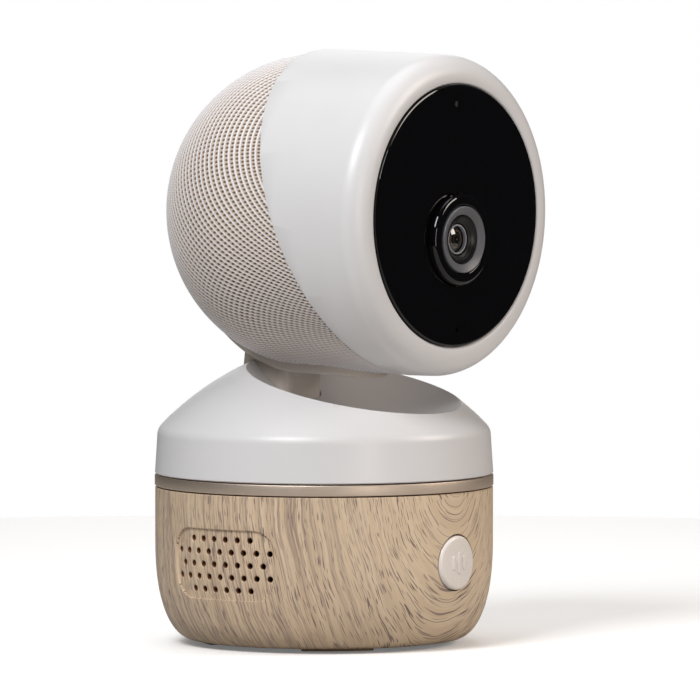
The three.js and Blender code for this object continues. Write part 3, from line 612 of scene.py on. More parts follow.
def only(obj: bpy.types.Object) -> bpy.types.Object:
    """Selects one object alone and makes it active."""
    bpy.ops.object.select_all(action="DESELECT")
    obj.select_set(True)
    bpy.context.view_layer.objects.active = obj
    return obj


def edit(obj: bpy.types.Object) -> None:
    """Opens edit mode on one object with everything in it selected."""
    only(obj)
    bpy.ops.object.mode_set(mode="EDIT")
    bpy.ops.mesh.select_mode(type="VERT")
    bpy.ops.mesh.select_all(action="SELECT")


def close_edit(merge: float = 0.0, outwards: bool = True) -> None:
    """Tidies the mesh and leaves edit mode.

    Args:
        merge: how close two points are merged, in millimetres; 0 merges none.
        outwards: whether the faces are turned outwards.
    """
    bpy.ops.mesh.select_all(action="SELECT")
    if merge:
        bpy.ops.mesh.remove_doubles(threshold=merge * MM)
    if outwards:
        bpy.ops.mesh.normals_make_consistent(inside=False)
    bpy.ops.object.mode_set(mode="OBJECT")


def coordinates(obj: bpy.types.Object) -> np.ndarray:
    """A mesh's vertices in millimetres, one row each."""
    flat = np.empty(len(obj.data.vertices) * 3)
    obj.data.vertices.foreach_get("co", flat)
    return flat.reshape(-1, 3) / MM


def move_to(obj: bpy.types.Object, points: np.ndarray) -> None:
    """Puts a mesh's vertices at these places, in millimetres."""
    obj.data.vertices.foreach_set("co", (points * MM).ravel())
    obj.data.update()


def turned(
    name: str,
    profile: Sequence[Point],
    axis: Axis = Axis.UP,
    centre: tuple[float, float, float] = (0, 0, 0),
    steps: int = 128,
) -> bpy.types.Object:
    """Spins a closed profile about an axis.

    Args:
        name: the piece's name.
        profile: a loop of (radius, distance along the axis).
        axis: which way the axis points.
        centre: a point on the axis.
        steps: segments around.

    Returns:
        The closed solid.
    """
    bpy.ops.object.select_all(action="DESELECT")
    bpy.ops.mesh.primitive_plane_add(size=MM)
    obj = bpy.context.object
    obj.name = name
    edit(obj)
    bpy.ops.mesh.merge(type="CENTER")
    middle = Vector(centre) * MM
    places = [middle + axis.place(*point) for point in [*profile, profile[0]]]
    bpy.ops.transform.translate(value=places[0])
    for before, after in zip(places, places[1:]):
        bpy.ops.mesh.extrude_region_move(TRANSFORM_OT_translate={"value": after - before})
    bpy.ops.mesh.select_all(action="SELECT")
    bpy.ops.mesh.spin(steps=steps, angle=2 * math.pi, center=middle, axis=Vector(axis.value))
    close_edit(merge=0.002)
    return obj


def plate(
    name: str, outline: Sequence[Point], bottom: float, rises: Sequence[tuple[float, float]]
) -> bpy.types.Object:
    """Raises a flat outline in steps, each drawn in by its own amount.

    Args:
        name: the piece's name.
        outline: points of the outline in the XY plane.
        bottom: the height that it starts from.
        rises: (rise, draw-in) for each step; the first isn't drawn in.

    Returns:
        The closed solid, flat in the XY plane.
    """
    bpy.ops.object.select_all(action="DESELECT")
    bpy.ops.mesh.primitive_circle_add(vertices=len(outline), radius=MM, fill_type="NGON")
    obj = bpy.context.object
    obj.name = name
    move_to(obj, np.array([(u, v, bottom) for u, v in outline]))
    edit(obj)
    for rise, draw in rises:
        if draw:
            bpy.ops.mesh.inset(thickness=draw * MM, depth=rise * MM)
        else:
            bpy.ops.mesh.extrude_region_move(TRANSFORM_OT_translate={"value": (0, 0, rise * MM)})
    close_edit()
    return obj


def sliced(obj: bpy.types.Object, normal: tuple[float, float, float], places: Iterable[float]) -> None:
    """Cuts edges across a flat piece so that it can bend.

    Args:
        obj: the piece.
        normal: the cuts' direction.
        places: where along it they are, in millimetres.
    """
    edit(obj)
    for place in places:
        bpy.ops.mesh.select_all(action="SELECT")
        bpy.ops.mesh.bisect(plane_co=Vector(normal) * place * MM, plane_no=normal)
    close_edit(outwards=False)


def wrapped(obj: bpy.types.Object, wrap: Wrap) -> bpy.types.Object:
    """Carries a flat piece's vertices onto a curved surface.

    Args:
        obj: the piece.
        wrap: the formula, from flat places to curved ones.

    Returns:
        The same piece.
    """
    move_to(obj, wrap(coordinates(obj)))
    edit(obj)
    close_edit()
    return obj


def modify(obj: bpy.types.Object, kind: str, **settings) -> bpy.types.Object:
    """Adds a modifier and applies it.

    Args:
        obj: the piece.
        kind: the modifier's type.
        **settings: its properties.

    Returns:
        The same piece.
    """
    only(obj)
    modifier = obj.modifiers.new(kind.lower(), kind)
    for name, value in settings.items():
        setattr(modifier, name, value)
    bpy.ops.object.modifier_apply(modifier=modifier.name)
    return obj


def combined(
    obj: bpy.types.Object, other: bpy.types.Object, operation: str = "DIFFERENCE"
) -> bpy.types.Object:
    """Cuts another solid from a piece, or unites the two.

    Args:
        obj: the piece that stays.
        other: the other solid, which is removed afterwards.
        operation: "DIFFERENCE" or "UNION".

    Returns:
        The piece that stays.
    """
    modify(obj, "BOOLEAN", operation=operation, object=other, solver="EXACT")
    bpy.data.objects.remove(other, do_unlink=True)
    return obj


def softened(obj: bpy.types.Object, width: float, angle: float = 40, segments: int = 2) -> bpy.types.Object:
    """Rounds a piece's sharp edges.

    Args:
        obj: the piece.
        width: the rounding's width, in millimetres.
        angle: edges sharper than this many degrees are rounded.
        segments: the segments of each rounding.

    Returns:
        The same piece.
    """
    return modify(
        obj, "BEVEL", width=width * MM, segments=segments, limit_method="ANGLE",
        angle_limit=math.radians(angle), use_clamp_overlap=True, miter_outer="MITER_ARC",
        harden_normals=False,
    )


def joined(objs: Sequence[bpy.types.Object]) -> bpy.types.Object:
    """Joins pieces into one.

    Args:
        objs: the pieces.

    Returns:
        The first of them, with the others in it.
    """
    bpy.ops.object.select_all(action="DESELECT")
    for obj in objs:
        obj.select_set(True)
    bpy.context.view_layer.objects.active = objs[0]
    bpy.ops.object.join()
    return objs[0]


def dressed(
    obj: bpy.types.Object, finish: Finish, body: str, stands_for: Sequence[str] = (), smooth: float = 32
) -> bpy.types.Object:
    """Smooths a piece, gives it its finish, ties it to its body and hides the CAD nodes that it stands for.

    Args:
        obj: the piece.
        finish: its finish.
        body: the body that it rides on.
        stands_for: CAD nodes that it replaces.
        smooth: edges sharper than this many degrees stay crisp.

    Returns:
        The piece.
    """
    only(obj)
    bpy.ops.object.shade_smooth_by_angle(angle=math.radians(smooth))
    obj.data.materials.clear()
    obj.data.materials.append(finish.material())
    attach(obj, body)
    if stands_for:
        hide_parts(*stands_for)
    log.info("%s: %d faces, %s, on %s", obj.name, len(obj.data.polygons), finish.name, body)
    return obj


# ---------------------------------------------------------------- base


@dataclass
class Base:
    """The wood-effect bowl with its speaker field, trim ring and talk button."""

    radius: float = BASE_RADIUS
    wall: float = 2.2
    underside: float = 0.65
    footprint: float = 30.2
    curve_top: float = 24.0
    rim: float = 36.65
    power: float = 2.3
    grille_height: float = 20.4
    grille_size: tuple[float, float] = (30.2, 16.4)
    grille_corner: float = 5.5
    grille_depth: float = 0.6
    hole_radius: float = 0.72
    hole_pitch: float = 4.95
    hole_row_gap: float = 2.95
    hole_rows: tuple[int, ...] = (6, 9, 8, 9, 6)
    button_radius: float = 6.35
    button_face: float = 40.3
    button_flange: float = 7.9
    button_fillet: float = 0.75
    trim_radius: float = 39.9
    trim_inner: float = 35.6
    trim_heights: Point = (36.95, 39.5)
    trim_chamfer: float = 0.22
    bar_halves: tuple[float, ...] = (1.7, 2.6, 1.7)
    bar_gap: float = 1.9
    gap: float = 0.3

    def build(self) -> None:
        """Makes every piece of the base that shows."""
        self.bowl()
        self.trim_ring()
        self.call_button()

    def curve(self, inset: float, steps: int) -> list[Point]:
        """The bowl's side below its straight part.

        Args:
            inset: how far it is drawn in, for the inner wall.
            steps: segments along it.

        Returns:
            Its (radius, height) points, from the foot up.
        """
        reach = self.radius - self.footprint - inset
        drop = self.curve_top - self.underside - inset
        angles = [math.pi / 2 * i / steps for i in range(steps + 1)]
        return [
            (self.footprint + reach * max(math.sin(a), 0) ** (2 / self.power),
             self.curve_top - drop * max(math.cos(a), 0) ** (2 / self.power))
            for a in angles
        ]

    def surface_radius(self, height: np.ndarray) -> np.ndarray:
        """The bowl's radius at a height above the feet."""
        drop = self.curve_top - self.underside
        cosine = np.clip((self.curve_top - height) / drop, 0, 1) ** (self.power / 2)
        sine = np.sqrt(1 - cosine**2)
        return self.footprint + (self.radius - self.footprint) * sine ** (2 / self.power)

    def onto_side(self, points: np.ndarray) -> np.ndarray:
        """Wraps (along the wall, height, depth into it) onto the speaker's side of the bowl, at -X."""
        angle = points[:, 0] / self.radius
        radius = self.surface_radius(points[:, 1]) - points[:, 2]
        return np.stack([-radius * np.cos(angle), -radius * np.sin(angle), points[:, 1]], axis=1)

    def speaker_field(self) -> bpy.types.Object:
        """The solid that presses the speaker's field into the wall, with a rolled lip and a soft floor."""
        width, tall = self.grille_size
        lip = 0.2
        outline = rounded_rectangle(
            width + 2 * lip, tall + 2 * lip, self.grille_corner + lip, (0, self.grille_height), 10
        )
        rolled_edge = [(0.03, 0.07), (0.05, 0.05), (0.07, 0.03)]
        soft_floor = [(0.05, 0.04), (0.02, 0.08)]
        rises = [(0.98, 0), *rolled_edge, (self.grille_depth - 0.20, 0.02), *soft_floor]
        pressed = plate("speaker_field", outline, -1.0, rises)
        self.bend(pressed)
        return wrapped(pressed, self.onto_side)

    def speaker_holes(self) -> bpy.types.Object:
        """The pins that drill the speaker's holes, each with a small countersink at the field's floor."""
        depth = self.grille_depth
        outline = arc((0, 0), self.hole_radius + 0.2, 0, 360, 20)[:-1]
        pin = plate("pin", outline, 0.2, [(depth - 0.22, 0), (0.05, 0.09), (0.12, 0.11), (2.6, 0)])
        shape = coordinates(pin)
        pins = []
        middle = (len(self.hole_rows) - 1) / 2
        step = math.radians(self.hole_pitch) * self.radius
        for row, count in enumerate(self.hole_rows):
            for i in range(count):
                copy = pin.copy()
                copy.data = pin.data.copy()
                bpy.context.scene.collection.objects.link(copy)
                along = (i - (count - 1) / 2) * step
                height = self.grille_height + (middle - row) * self.hole_row_gap
                move_to(copy, shape + np.array([along, height, 0]))
                pins.append(copy)
        bpy.data.objects.remove(pin, do_unlink=True)
        return wrapped(joined(pins), self.onto_side)

    def bend(self, obj: bpy.types.Object) -> None:
        """Cuts a flat piece finely enough to follow the wall."""
        step = math.radians(2.5) * self.radius
        sliced(obj, (1, 0, 0), [i * step for i in range(-9, 10)])
        sliced(obj, (0, 1, 0), [self.grille_height + 1.4 * i for i in range(-6, 7)])

    def bowl(self) -> bpy.types.Object:
        """The bowl's shell with its speaker field, button hole and power inlet."""
        low = self.underside + 1.25
        straight = [(self.radius, self.curve_top + d) for d in (3, 6, 9, 12)]
        inner = self.radius - self.wall
        edge = [(self.radius, self.rim - 0.25), (self.radius - 0.25, self.rim)]
        outside = [*self.curve(0, 26), *straight, *edge]
        inside = [*self.curve(self.wall, 14), (inner, self.rim)][::-1]
        profile = [(27.5, low), (self.footprint, low), *outside, *inside, (27.5, 2.85)]
        bowl = turned("wood_bowl", profile, steps=144)
        combined(bowl, self.speaker_field())
        combined(bowl, self.speaker_holes())
        reach = self.button_radius + self.gap
        countersink = [(reach, 39.45), (reach + 0.35, 40.0), (reach + 0.35, 43)]
        drill = [(0, 20), (reach, 20), *countersink, (0, 43)]
        combined(bowl, turned("button_hole", drill, Axis.FRONT, (0, 0, self.grille_height), 72))
        lo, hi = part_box("power_socket")
        width, tall = (hi[0] - lo[0]) / MM, (hi[2] - lo[2]) / MM
        middle = (0, (hi[2] + lo[2]) / 2 / MM)
        opening = rounded_rectangle(width + self.gap, tall + self.gap, 2.2, middle)
        inlet = plate("inlet_hole", opening, 20, [(24, 0)])
        combined(bowl, wrapped(inlet, lambda p: p[:, [0, 2, 1]]))
        dressed(bowl, WOOD, "base", ["base_bowl"], smooth=38)
        bowl.data.materials.append(BROWN.material())
        for face in bowl.data.polygons:
            x, y, z = face.center / MM
            skin = float(self.surface_radius(np.array(z))) - self.grille_depth - 0.2
            if z > 3 and math.hypot(x, y) < skin:
                face.material_index = 1
        return bowl

    def trim_ring(self) -> bpy.types.Object:
        """The champagne band between the bowl and the collar, its two edges chamfered."""
        low, high = self.trim_heights
        chamfer = self.trim_chamfer
        profile = rounded([
            (self.trim_inner, low, 0), (self.trim_radius, low, chamfer),
            (self.trim_radius, high, chamfer), (self.trim_inner, high, 0),
        ], 3)
        return dressed(turned("champagne_trim", profile, steps=180), CHAMPAGNE, "base", ["trim_ring"])

    def call_button(self) -> bpy.types.Object:
        """The talk button: a cap that follows the wall, with three raised bars to find it by touch."""
        face, radius = self.button_face, self.button_radius
        flange, fillet = self.button_flange, self.button_fillet
        crown = arc((radius - fillet, face - fillet), fillet, 90, 0, 6)
        rings = [(r, face) for r in (0, 1.2, 2.4, 3.6, 4.8)]
        stem = [(radius, 36.1), (flange, 36.1), (flange, 35.1), (2, 35.1), (2, 33.1), (0, 33.1)]
        profile = [*rings, *crown, *stem]
        cap = turned("talk_button", profile, Axis.FRONT, (0, 0, self.grille_height), 72)
        bars = []
        for i, half in enumerate(self.bar_halves):
            outline = stadium(0.5, -half, half, 8)
            bar = plate("touch_bar", outline, face - 0.4, [(0.54, 0), (0.08, 0.08), (0.04, 0.12)])
            sliced(bar, (0, 1, 0), [-2, -1, 0, 1, 2])
            across = (i - 1) * self.bar_gap
            bars.append(wrapped(bar, lambda p, u=across: np.stack(
                [p[:, 0] + u, -p[:, 2], p[:, 1] + self.grille_height], axis=1)))
        for bar in bars:
            combined(cap, bar, "UNION")
        places = coordinates(cap)
        front = -places[:, 1] > 36.5
        sag = face - np.sqrt(face**2 - places[:, 0] ** 2)
        places[:, 1] += np.where(front, sag, 0)
        move_to(cap, places)
        return dressed(cap, BUTTON, "call_button", ["call_button"], smooth=35)


# ---------------------------------------------------------------- turret


@dataclass
class Turret:
    """The pearl collar that pans on the base, and the neck that carries the head."""

    skirt: float = 39.85
    bottom: float = 39.8
    shoulder_centre: Point = (35.7, 48.7)
    fillet: float = 3.6
    slope_start: Point = (36.5, 53.06)
    slope_middle: Point = (19.1, 69.3)
    peak: float = 69.6
    scoop_radius: float = 41.5
    scoop_centre: tuple[float, float, float] = (0, -16.1, 92.4)
    neck_half_width: float = 7.25
    neck_front: float = 5.6
    neck_back: float = 19.5
    neck_corner: float = 2.8
    neck_foot: float = 43.6
    neck_flange: Point = (18.0, 1.8)
    eye: float = 7.4
    bore: float = 2.8
    wall: float = 2.0
    gap: float = 0.3

    def build(self) -> None:
        """Makes the collar and the neck."""
        self.collar()
        self.neck()

    def dome(self, inset: float) -> list[Point]:
        """The collar's outline, from its shoulder to its tip.

        Args:
            inset: how far it is drawn in, for the inner wall.

        Returns:
            Its (radius, height) points.
        """
        shoulder = arc(self.shoulder_centre, self.fillet - inset, 0, 48, 7)
        shift = (inset * 0.7, inset * 0.72)
        start = (self.slope_start[0] - shift[0], self.slope_start[1] - shift[1])
        end = (0.0, self.peak - inset)
        middle = (self.slope_middle[0], self.slope_middle[1] - inset)
        slope = []
        for i in range(25):
            t = i / 24
            weights = ((1 - t) ** 2, 2 * t * (1 - t), t * t)
            weighted = list(zip(weights, (start, middle, end)))
            slope.append((sum(w * p[0] for w, p in weighted), sum(w * p[1] for w, p in weighted)))
        return [*shoulder, *slope]

    def neck_outline(self, grow: float) -> list[Point]:
        """The neck's section where it passes through the collar.

        Args:
            grow: how far it is let out, for the collar's opening.

        Returns:
            The outline's points.
        """
        middle = (self.neck_front + self.neck_back) / 2
        depth = self.neck_back - self.neck_front
        return rounded_rectangle(
            2 * (self.neck_half_width + grow), depth + 2 * grow, self.neck_corner + grow, (0, middle)
        )

    def ball(self, grow: float) -> bpy.types.Object:
        """The ball that scoops room for the head.

        Args:
            grow: how far it is let out, for the inner wall.

        Returns:
            The ball, its poles to the sides.
        """
        bpy.ops.object.select_all(action="DESELECT")
        radius = (self.scoop_radius + grow) * MM
        bpy.ops.mesh.primitive_uv_sphere_add(segments=144, ring_count=96, radius=radius)
        obj = bpy.context.object
        points = coordinates(obj)[:, [2, 0, 1]] + np.array(self.scoop_centre)
        move_to(obj, points)
        return obj

    def collar(self) -> bpy.types.Object:
        """The domed collar with its scoop and the neck's opening."""
        skirt, bottom = self.skirt, self.bottom
        edge = [(skirt - 0.25, bottom), (skirt, bottom + 0.25)]
        outside = edge + [(skirt - 0.14 * i, bottom + 2.2 * i) for i in (1, 2, 3)]
        collar = turned("pearl_collar", [*outside, *self.dome(0), (0, bottom)], steps=180)
        combined(collar, self.ball(0))
        inside = [(skirt - self.wall, bottom - 1), *self.dome(self.wall), (0, bottom - 1)]
        hollow = turned("hollow", inside, steps=90)
        combined(hollow, self.ball(self.wall))
        combined(collar, hollow)
        combined(collar, plate("neck_hole", self.neck_outline(self.gap), bottom - 2, [(45, 0)]))
        softened(collar, 0.3, 42)
        return dressed(collar, PEARL, "turret", ["collar"], smooth=30)

    def sideways(self, name: str, outline: Sequence[Point], half: float) -> bpy.types.Object:
        """Raises an outline seen from the side, by half a width to each side."""
        return wrapped(plate(name, outline, -half, [(2 * half, 0)]), lambda p: p[:, [2, 0, 1]])

    def neck(self) -> bpy.types.Object:
        """The neck: a foot flange, a column, and an arm up to the eye for the tilt axle."""
        foot, half = self.neck_foot, self.neck_half_width
        column = plate("neck_arm", self.neck_outline(0), foot, [(24.9, 0)])
        lean = rounded([
            (self.neck_front + 0.4, 64, 0), (self.neck_back - 0.4, 64, 0), (self.neck_back - 1, 69, 4),
            (6.4, 98.6, 3), (-4.4, 96, 3),
        ], 5)
        combined(column, self.sideways("arm", lean, half - 0.6), "UNION")
        eye = arc((0, HEAD_HEIGHT), self.eye, 0, 360, 48)[:-1]
        combined(column, self.sideways("eye", eye, half), "UNION")
        reach, rise = self.neck_flange
        profile = [(0, foot), (reach, foot), (reach, foot + rise), (0, foot + rise)]
        combined(column, turned("flange", profile, steps=64), "UNION")
        bore = arc((0, HEAD_HEIGHT), self.bore, 0, 360, 32)[:-1]
        combined(column, self.sideways("bore", bore, 20))
        softened(column, 0.5, 50, 3)
        return dressed(column, NECK, "turret", ["neck"], smooth=35)


# ---------------------------------------------------------------- head


@dataclass
class Head:
    """The camera head: front casing and panel, knitted rear cover, and the rim of the neck's slot.

    The panel's openings are given as radius, height above the tilt axle and segments: for the lens hood,
    the status light and the microphone. The knit's net is turned about the middle of the back.
    """

    casing_radius: float = 38.1
    casing_taper: float = 0.016
    casing_front: float = 39.4
    casing_fillet: float = 5.2
    casing_inner: float = 35.5
    mouth: float = 30.8
    lip: Point = (28.8, 36.2)
    panel_radius: float = 30.5
    panel_front: float = 39.6
    panel_back: float = 38.0
    openings: tuple[tuple[float, float, int], ...] = (
        (11, -LENS_DROP, 96), (0.75, 26.1, 24), (0.5, -26.6, 24),
    )
    gap: float = 0.3
    seam_forward: float = 14.2
    seam_lean: float = 0.365
    knit_radius: float = 37.05
    knit_flare: float = 0.018
    knit_pitch: float = 1.6
    knit_cells: int = 110
    knit_samples: int = 3
    knit_turn: float = 33.0
    pit_depth: float = 0.34
    wale_rise: float = 0.06
    bar_drop: float = 0.06
    roll_width: float = 0.8
    seam_gap: float = 0.12
    slot_half_width: float = 10.0
    slot_border: float = 2.1
    slot_front: float = -16.5
    slot_rear_angle: float = 64.0
    rim_radius: float = 38.8
    rim_roll: float = 0.55
    cut_margin: float = 0.15

    def build(self) -> None:
        """Makes every piece of the head's outside but the lens."""
        self.casing()
        self.slot_frame()
        self.knit_cover()
        self.panel()

    def seam_offset(self, points: np.ndarray) -> np.ndarray:
        """How far behind the leaning seam a point is, in millimetres; negative in front of it."""
        height = points[:, 2] - HEAD_HEIGHT
        return (points[:, 1] + self.seam_forward - self.seam_lean * height) / math.hypot(1, self.seam_lean)

    def casing(self) -> bpy.types.Object:
        """The pearl front casing: a sleeve with a big rounded lip, cut at the leaning seam."""
        radius, front, fillet = self.casing_radius, self.casing_front, self.casing_fillet
        edge = radius - self.casing_taper * (front - fillet)
        sleeve = [(radius - self.casing_taper * a, a) for a in (-3, 3, 9, 15, 21, 27)]
        lip = arc((edge - fillet, front - fillet), fillet, 0, 90, 14)
        seat = self.panel_back - self.gap
        lip_radius, lip_back = self.lip
        throat = [(self.mouth + 0.5, front), (self.mouth + 0.15, front - 0.15), (self.mouth, front - 0.5),
                  (self.mouth, seat), (lip_radius, seat), (lip_radius, lip_back)]
        inside = [(lip_radius + 4, lip_back), (self.casing_inner, 33.4), (self.casing_inner, -3)]
        profile = [*sleeve, *lip, *throat, *inside]
        casing = turned("pearl_casing", profile, Axis.FRONT, (0, 0, HEAD_HEIGHT), 180)
        edit(casing)
        normal = Vector((0, 1, -self.seam_lean)).normalized()
        bpy.ops.mesh.bisect(
            plane_co=Vector((0, -self.seam_forward, HEAD_HEIGHT)) * MM, plane_no=normal, clear_outer=True,
        )
        bpy.ops.mesh.select_all(action="DESELECT")
        bpy.ops.mesh.select_mode(type="EDGE")
        bpy.ops.mesh.select_non_manifold()
        bpy.ops.mesh.bridge_edge_loops()
        close_edit()
        softened(casing, 0.35, 42)
        return dressed(casing, PEARL, "head", ["head_casing"], smooth=30)

    def under_head(self, points: np.ndarray) -> np.ndarray:
        """Wraps the slot's rim under the head.

        Args:
            points: rows of (across, along the slot, radius).

        Returns:
            The rows' places, on the head's ball behind the axle and on its barrel ahead of it.
        """
        across, along, radius = points.T
        depth = np.sqrt(np.maximum(radius**2 - across**2, 0))
        angle = np.maximum(along, 0) / self.knit_radius
        y = np.where(along < 0, along, depth * np.sin(angle))
        return np.stack([across, y, HEAD_HEIGHT - depth * np.cos(angle)], axis=1)

    def slot_end(self) -> float:
        """How far back along the head's ball the slot reaches."""
        return self.knit_radius * math.radians(self.slot_rear_angle)

    def slot_frame(self) -> bpy.types.Object:
        """The rounded rim around the slot that the neck runs in."""
        half, border, rear = self.slot_half_width, self.slot_border, self.slot_end()
        rim = plate("slot_rim", stadium(half, self.slot_front, rear), 36.2, [(2.6, 0)])
        inner = stadium(half - border, self.slot_front + border, rear - border)
        combined(rim, plate("slot_opening", inner, 30, [(20, 0)]))
        softened(rim, 0.55, 50, 4)
        sliced(rim, (0, 1, 0), [2.0 * i for i in range(-4, 17)])
        shape = coordinates(rim)
        fade = np.clip((shape[:, 1] - 6) / (rear - 6), 0, 1) * (self.rim_radius - self.knit_radius - 0.35)
        shape[:, 2] -= np.where(shape[:, 2] > 37.5, fade, 0)
        move_to(rim, shape)
        wrapped(rim, self.under_head)
        return dressed(rim, NECK, "head", ["slot_frame"], smooth=35)

    def slot_distance(self, points: np.ndarray) -> np.ndarray:
        """How far outside the slot frame's outline points are, measured on the cover.

        Args:
            points: rows of places, in millimetres.

        Returns:
            A distance for each row, negative inside the outline.
        """
        height = points[:, 2] - HEAD_HEIGHT
        angle = np.arctan2(points[:, 1], -height)
        along = np.where(points[:, 1] < 0, points[:, 1], self.knit_radius * angle)
        half = self.slot_half_width
        nearest = np.clip(along, self.slot_front + half, self.slot_end() - half)
        distance = np.hypot(points[:, 0], along - nearest) - half
        return np.where((height > 0) & (points[:, 1] < 0), 99.0, distance)

    def knit_cover(self) -> bpy.types.Object:
        """The knitted rear cover: one flat net, stretched from the middle of the back over the ball."""
        count = self.knit_cells * self.knit_samples
        size = self.knit_cells * self.knit_pitch
        bpy.ops.object.select_all(action="DESELECT")
        bpy.ops.mesh.primitive_grid_add(x_subdivisions=count, y_subdivisions=count, size=size * MM)
        cover = bpy.context.object
        cover.name = "knit_cover"
        cover.data.uv_layers[0].name = "lattice"
        flat = coordinates(cover)
        step = np.rint((flat[:, :2] + size / 2) / size * count).astype(int) % self.knit_samples
        on_column, on_row = step.T == 0
        relief = np.select([on_column, on_row], [self.wale_rise, -self.bar_drop], -self.pit_depth)
        reach = np.hypot(flat[:, 0], flat[:, 1])
        quarter = self.knit_radius * math.pi / 2
        bend = np.minimum(reach, quarter) / self.knit_radius
        ahead = np.maximum(reach - quarter, 0)
        radius = (self.knit_radius + relief) * np.sin(bend) + self.knit_flare * ahead
        direction = np.arctan2(flat[:, 1], flat[:, 0]) - math.radians(self.knit_turn)
        places = np.stack([
            radius * np.cos(direction),
            (self.knit_radius + relief) * np.cos(bend) - ahead,
            HEAD_HEIGHT + radius * np.sin(direction),
        ], axis=1)
        move_to(cover, places)
        edit(cover)
        normal = Vector((0, 1, -self.seam_lean)).normalized()
        seam = Vector((0, -self.seam_forward + self.seam_gap, HEAD_HEIGHT)) * MM
        bpy.ops.mesh.bisect(plane_co=seam, plane_no=normal, clear_inner=True)
        bpy.ops.object.mode_set(mode="OBJECT")
        self.open_slot(cover)
        places = coordinates(cover)
        near = np.minimum(self.seam_offset(places) - 0.1, self.slot_distance(places) - self.cut_margin)
        roll = self.rim_roll * (1 - np.clip(near / self.roll_width, 0, 1)) ** 2
        out = places - np.array([0, 0, HEAD_HEIGHT])
        out[:, 1] = np.maximum(out[:, 1], 0)
        places -= out / np.linalg.norm(out, axis=1, keepdims=True) * roll[:, None]
        move_to(cover, places)
        edit(cover)
        close_edit()
        dressed(cover, KNIT, "head", ["fabric_cover"], smooth=180)
        return cover

    def open_slot(self, cover: bpy.types.Object) -> None:
        """Removes the cover inside the slot frame's outline and draws the cut edge to that outline.

        Args:
            cover: the cover, which is changed.
        """
        margin, nudge = self.cut_margin, 0.02
        inside = self.slot_distance(coordinates(cover)) < margin
        doomed = [all(inside[v] for v in face.vertices) for face in cover.data.polygons]
        cover.data.polygons.foreach_set("select", doomed)
        only(cover)
        bpy.ops.object.mode_set(mode="EDIT")
        bpy.ops.mesh.select_mode(type="FACE")
        bpy.ops.object.mode_set(mode="OBJECT")
        cover.data.polygons.foreach_set("select", doomed)
        bpy.ops.object.mode_set(mode="EDIT")
        bpy.ops.mesh.delete(type="FACE")
        bpy.ops.object.mode_set(mode="OBJECT")
        places = coordinates(cover)
        for _ in range(3):
            distance = self.slot_distance(places)
            stray = distance < margin
            slope = np.stack([
                self.slot_distance(places + np.eye(3)[k] * nudge) - distance for k in range(3)
            ], axis=1) / nudge
            slope /= np.maximum(np.linalg.norm(slope, axis=1, keepdims=True), 1e-6)
            places[stray] += slope[stray] * (margin - distance[stray])[:, None]
        move_to(cover, places)

    def panel(self) -> bpy.types.Object:
        """The gloss black front panel, with openings for the lens hood, status light and microphone."""
        radius, back, front = self.panel_radius, self.panel_back, self.panel_front
        edge = [(radius, front - 0.3), (radius - 0.08, front - 0.1), (radius - 0.3, front)]
        flat = [(radius - 0.5, front), (radius - 0.9, front), (0, front)]
        profile = [(0, back), (radius, back), *edge, *flat]
        panel = turned("gloss_panel", profile, Axis.FRONT, (0, 0, HEAD_HEIGHT), 180)
        for hole, height, steps in self.openings:
            drill = [(0, back - 1), (hole, back - 1), (hole, front + 1.4), (0, front + 1.4)]
            combined(panel, turned("panel_hole", drill, Axis.FRONT, (0, 0, HEAD_HEIGHT + height), steps))
        return dressed(panel, ACRYLIC, "head", ["front_panel"], smooth=30)


@dataclass
class Lens:
    """The lens group: black hood, grey ring, recess, satin retainer and glass."""

    hood: float = 10.7
    hood_inner: float = 8.1
    hood_front: float = 41.6
    ring: float = 7.8
    ring_inner: float = 5.8
    ring_front: float = 42.0
    glass_curve: float = 6.4
    glass_tip: float = 39.6
    glass_edge: float = 3.05

    def build(self) -> None:
        """Makes the lens's pieces from the outside in."""
        crown = arc((self.hood - 1.0, self.hood_front - 1.0), 1.0, 0, 90, 10)
        inner = arc((self.hood_inner + 0.25, self.hood_front - 0.25), 0.25, 90, 180, 4)
        flange = [(self.hood_inner, 36.2), (12.6, 36.2), (12.6, 37.7), (self.hood, 37.7)]
        self.turn("gloss_hood", [*flange, *crown, *inner], ACRYLIC, "lens_hood")
        ring_edge = arc((self.ring - 0.25, self.ring_front - 0.25), 0.25, 0, 90, 4)
        ring_rear = [(self.ring_inner, 37.4), (self.ring, 37.4)]
        inside, front = self.ring_inner, self.ring_front
        ring_mouth = [(inside + 0.2, front - 0.62), (inside, front - 0.8)]
        self.turn("grey_lens_ring", [*ring_rear, *ring_edge, *ring_mouth], GREY_RING, "lens_ring")
        tube = [(3.75, 25.6), (5.5, 25.6), (5.5, 41.1), (5.2, 41.1)]
        baffles = [(4.95, 40.85), (4.95, 40.75), (4.4, 40.35), (4.4, 40.25), (3.85, 39.9), (3.75, 39.6)]
        self.turn("black_barrel", [*tube, *baffles], BARREL, "lens_barrel")
        retainer = rounded([(3.12, 39, 0), (3.5, 39, 0), (3.5, 39.8, 0.12), (3.12, 39.8, 0.12)], 3)
        self.turn("bright_retainer", retainer, BRIGHT_RING, "lens_retainer")
        curve, tip, edge = self.glass_curve, self.glass_tip, self.glass_edge
        dome = [(u, v) for u, v in arc((0, tip - curve), curve, 60, 90, 14) if u < edge]
        self.turn("lens_dome", [(0, 34), (3.4, 34), (3.4, 38.6), (edge, 38.7), *dome], GLASS, "lens_glass")

    def turn(self, name: str, profile: Sequence[Point], finish: Finish, node: str) -> bpy.types.Object:
        """Turns a piece about the lens axis and dresses it."""
        piece = turned(name, profile, Axis.FRONT, (0, 0, HEAD_HEIGHT - LENS_DROP), 96)
        return dressed(piece, finish, "head", [node], smooth=30)


# ---------------------------------------------------------------- inside and studio


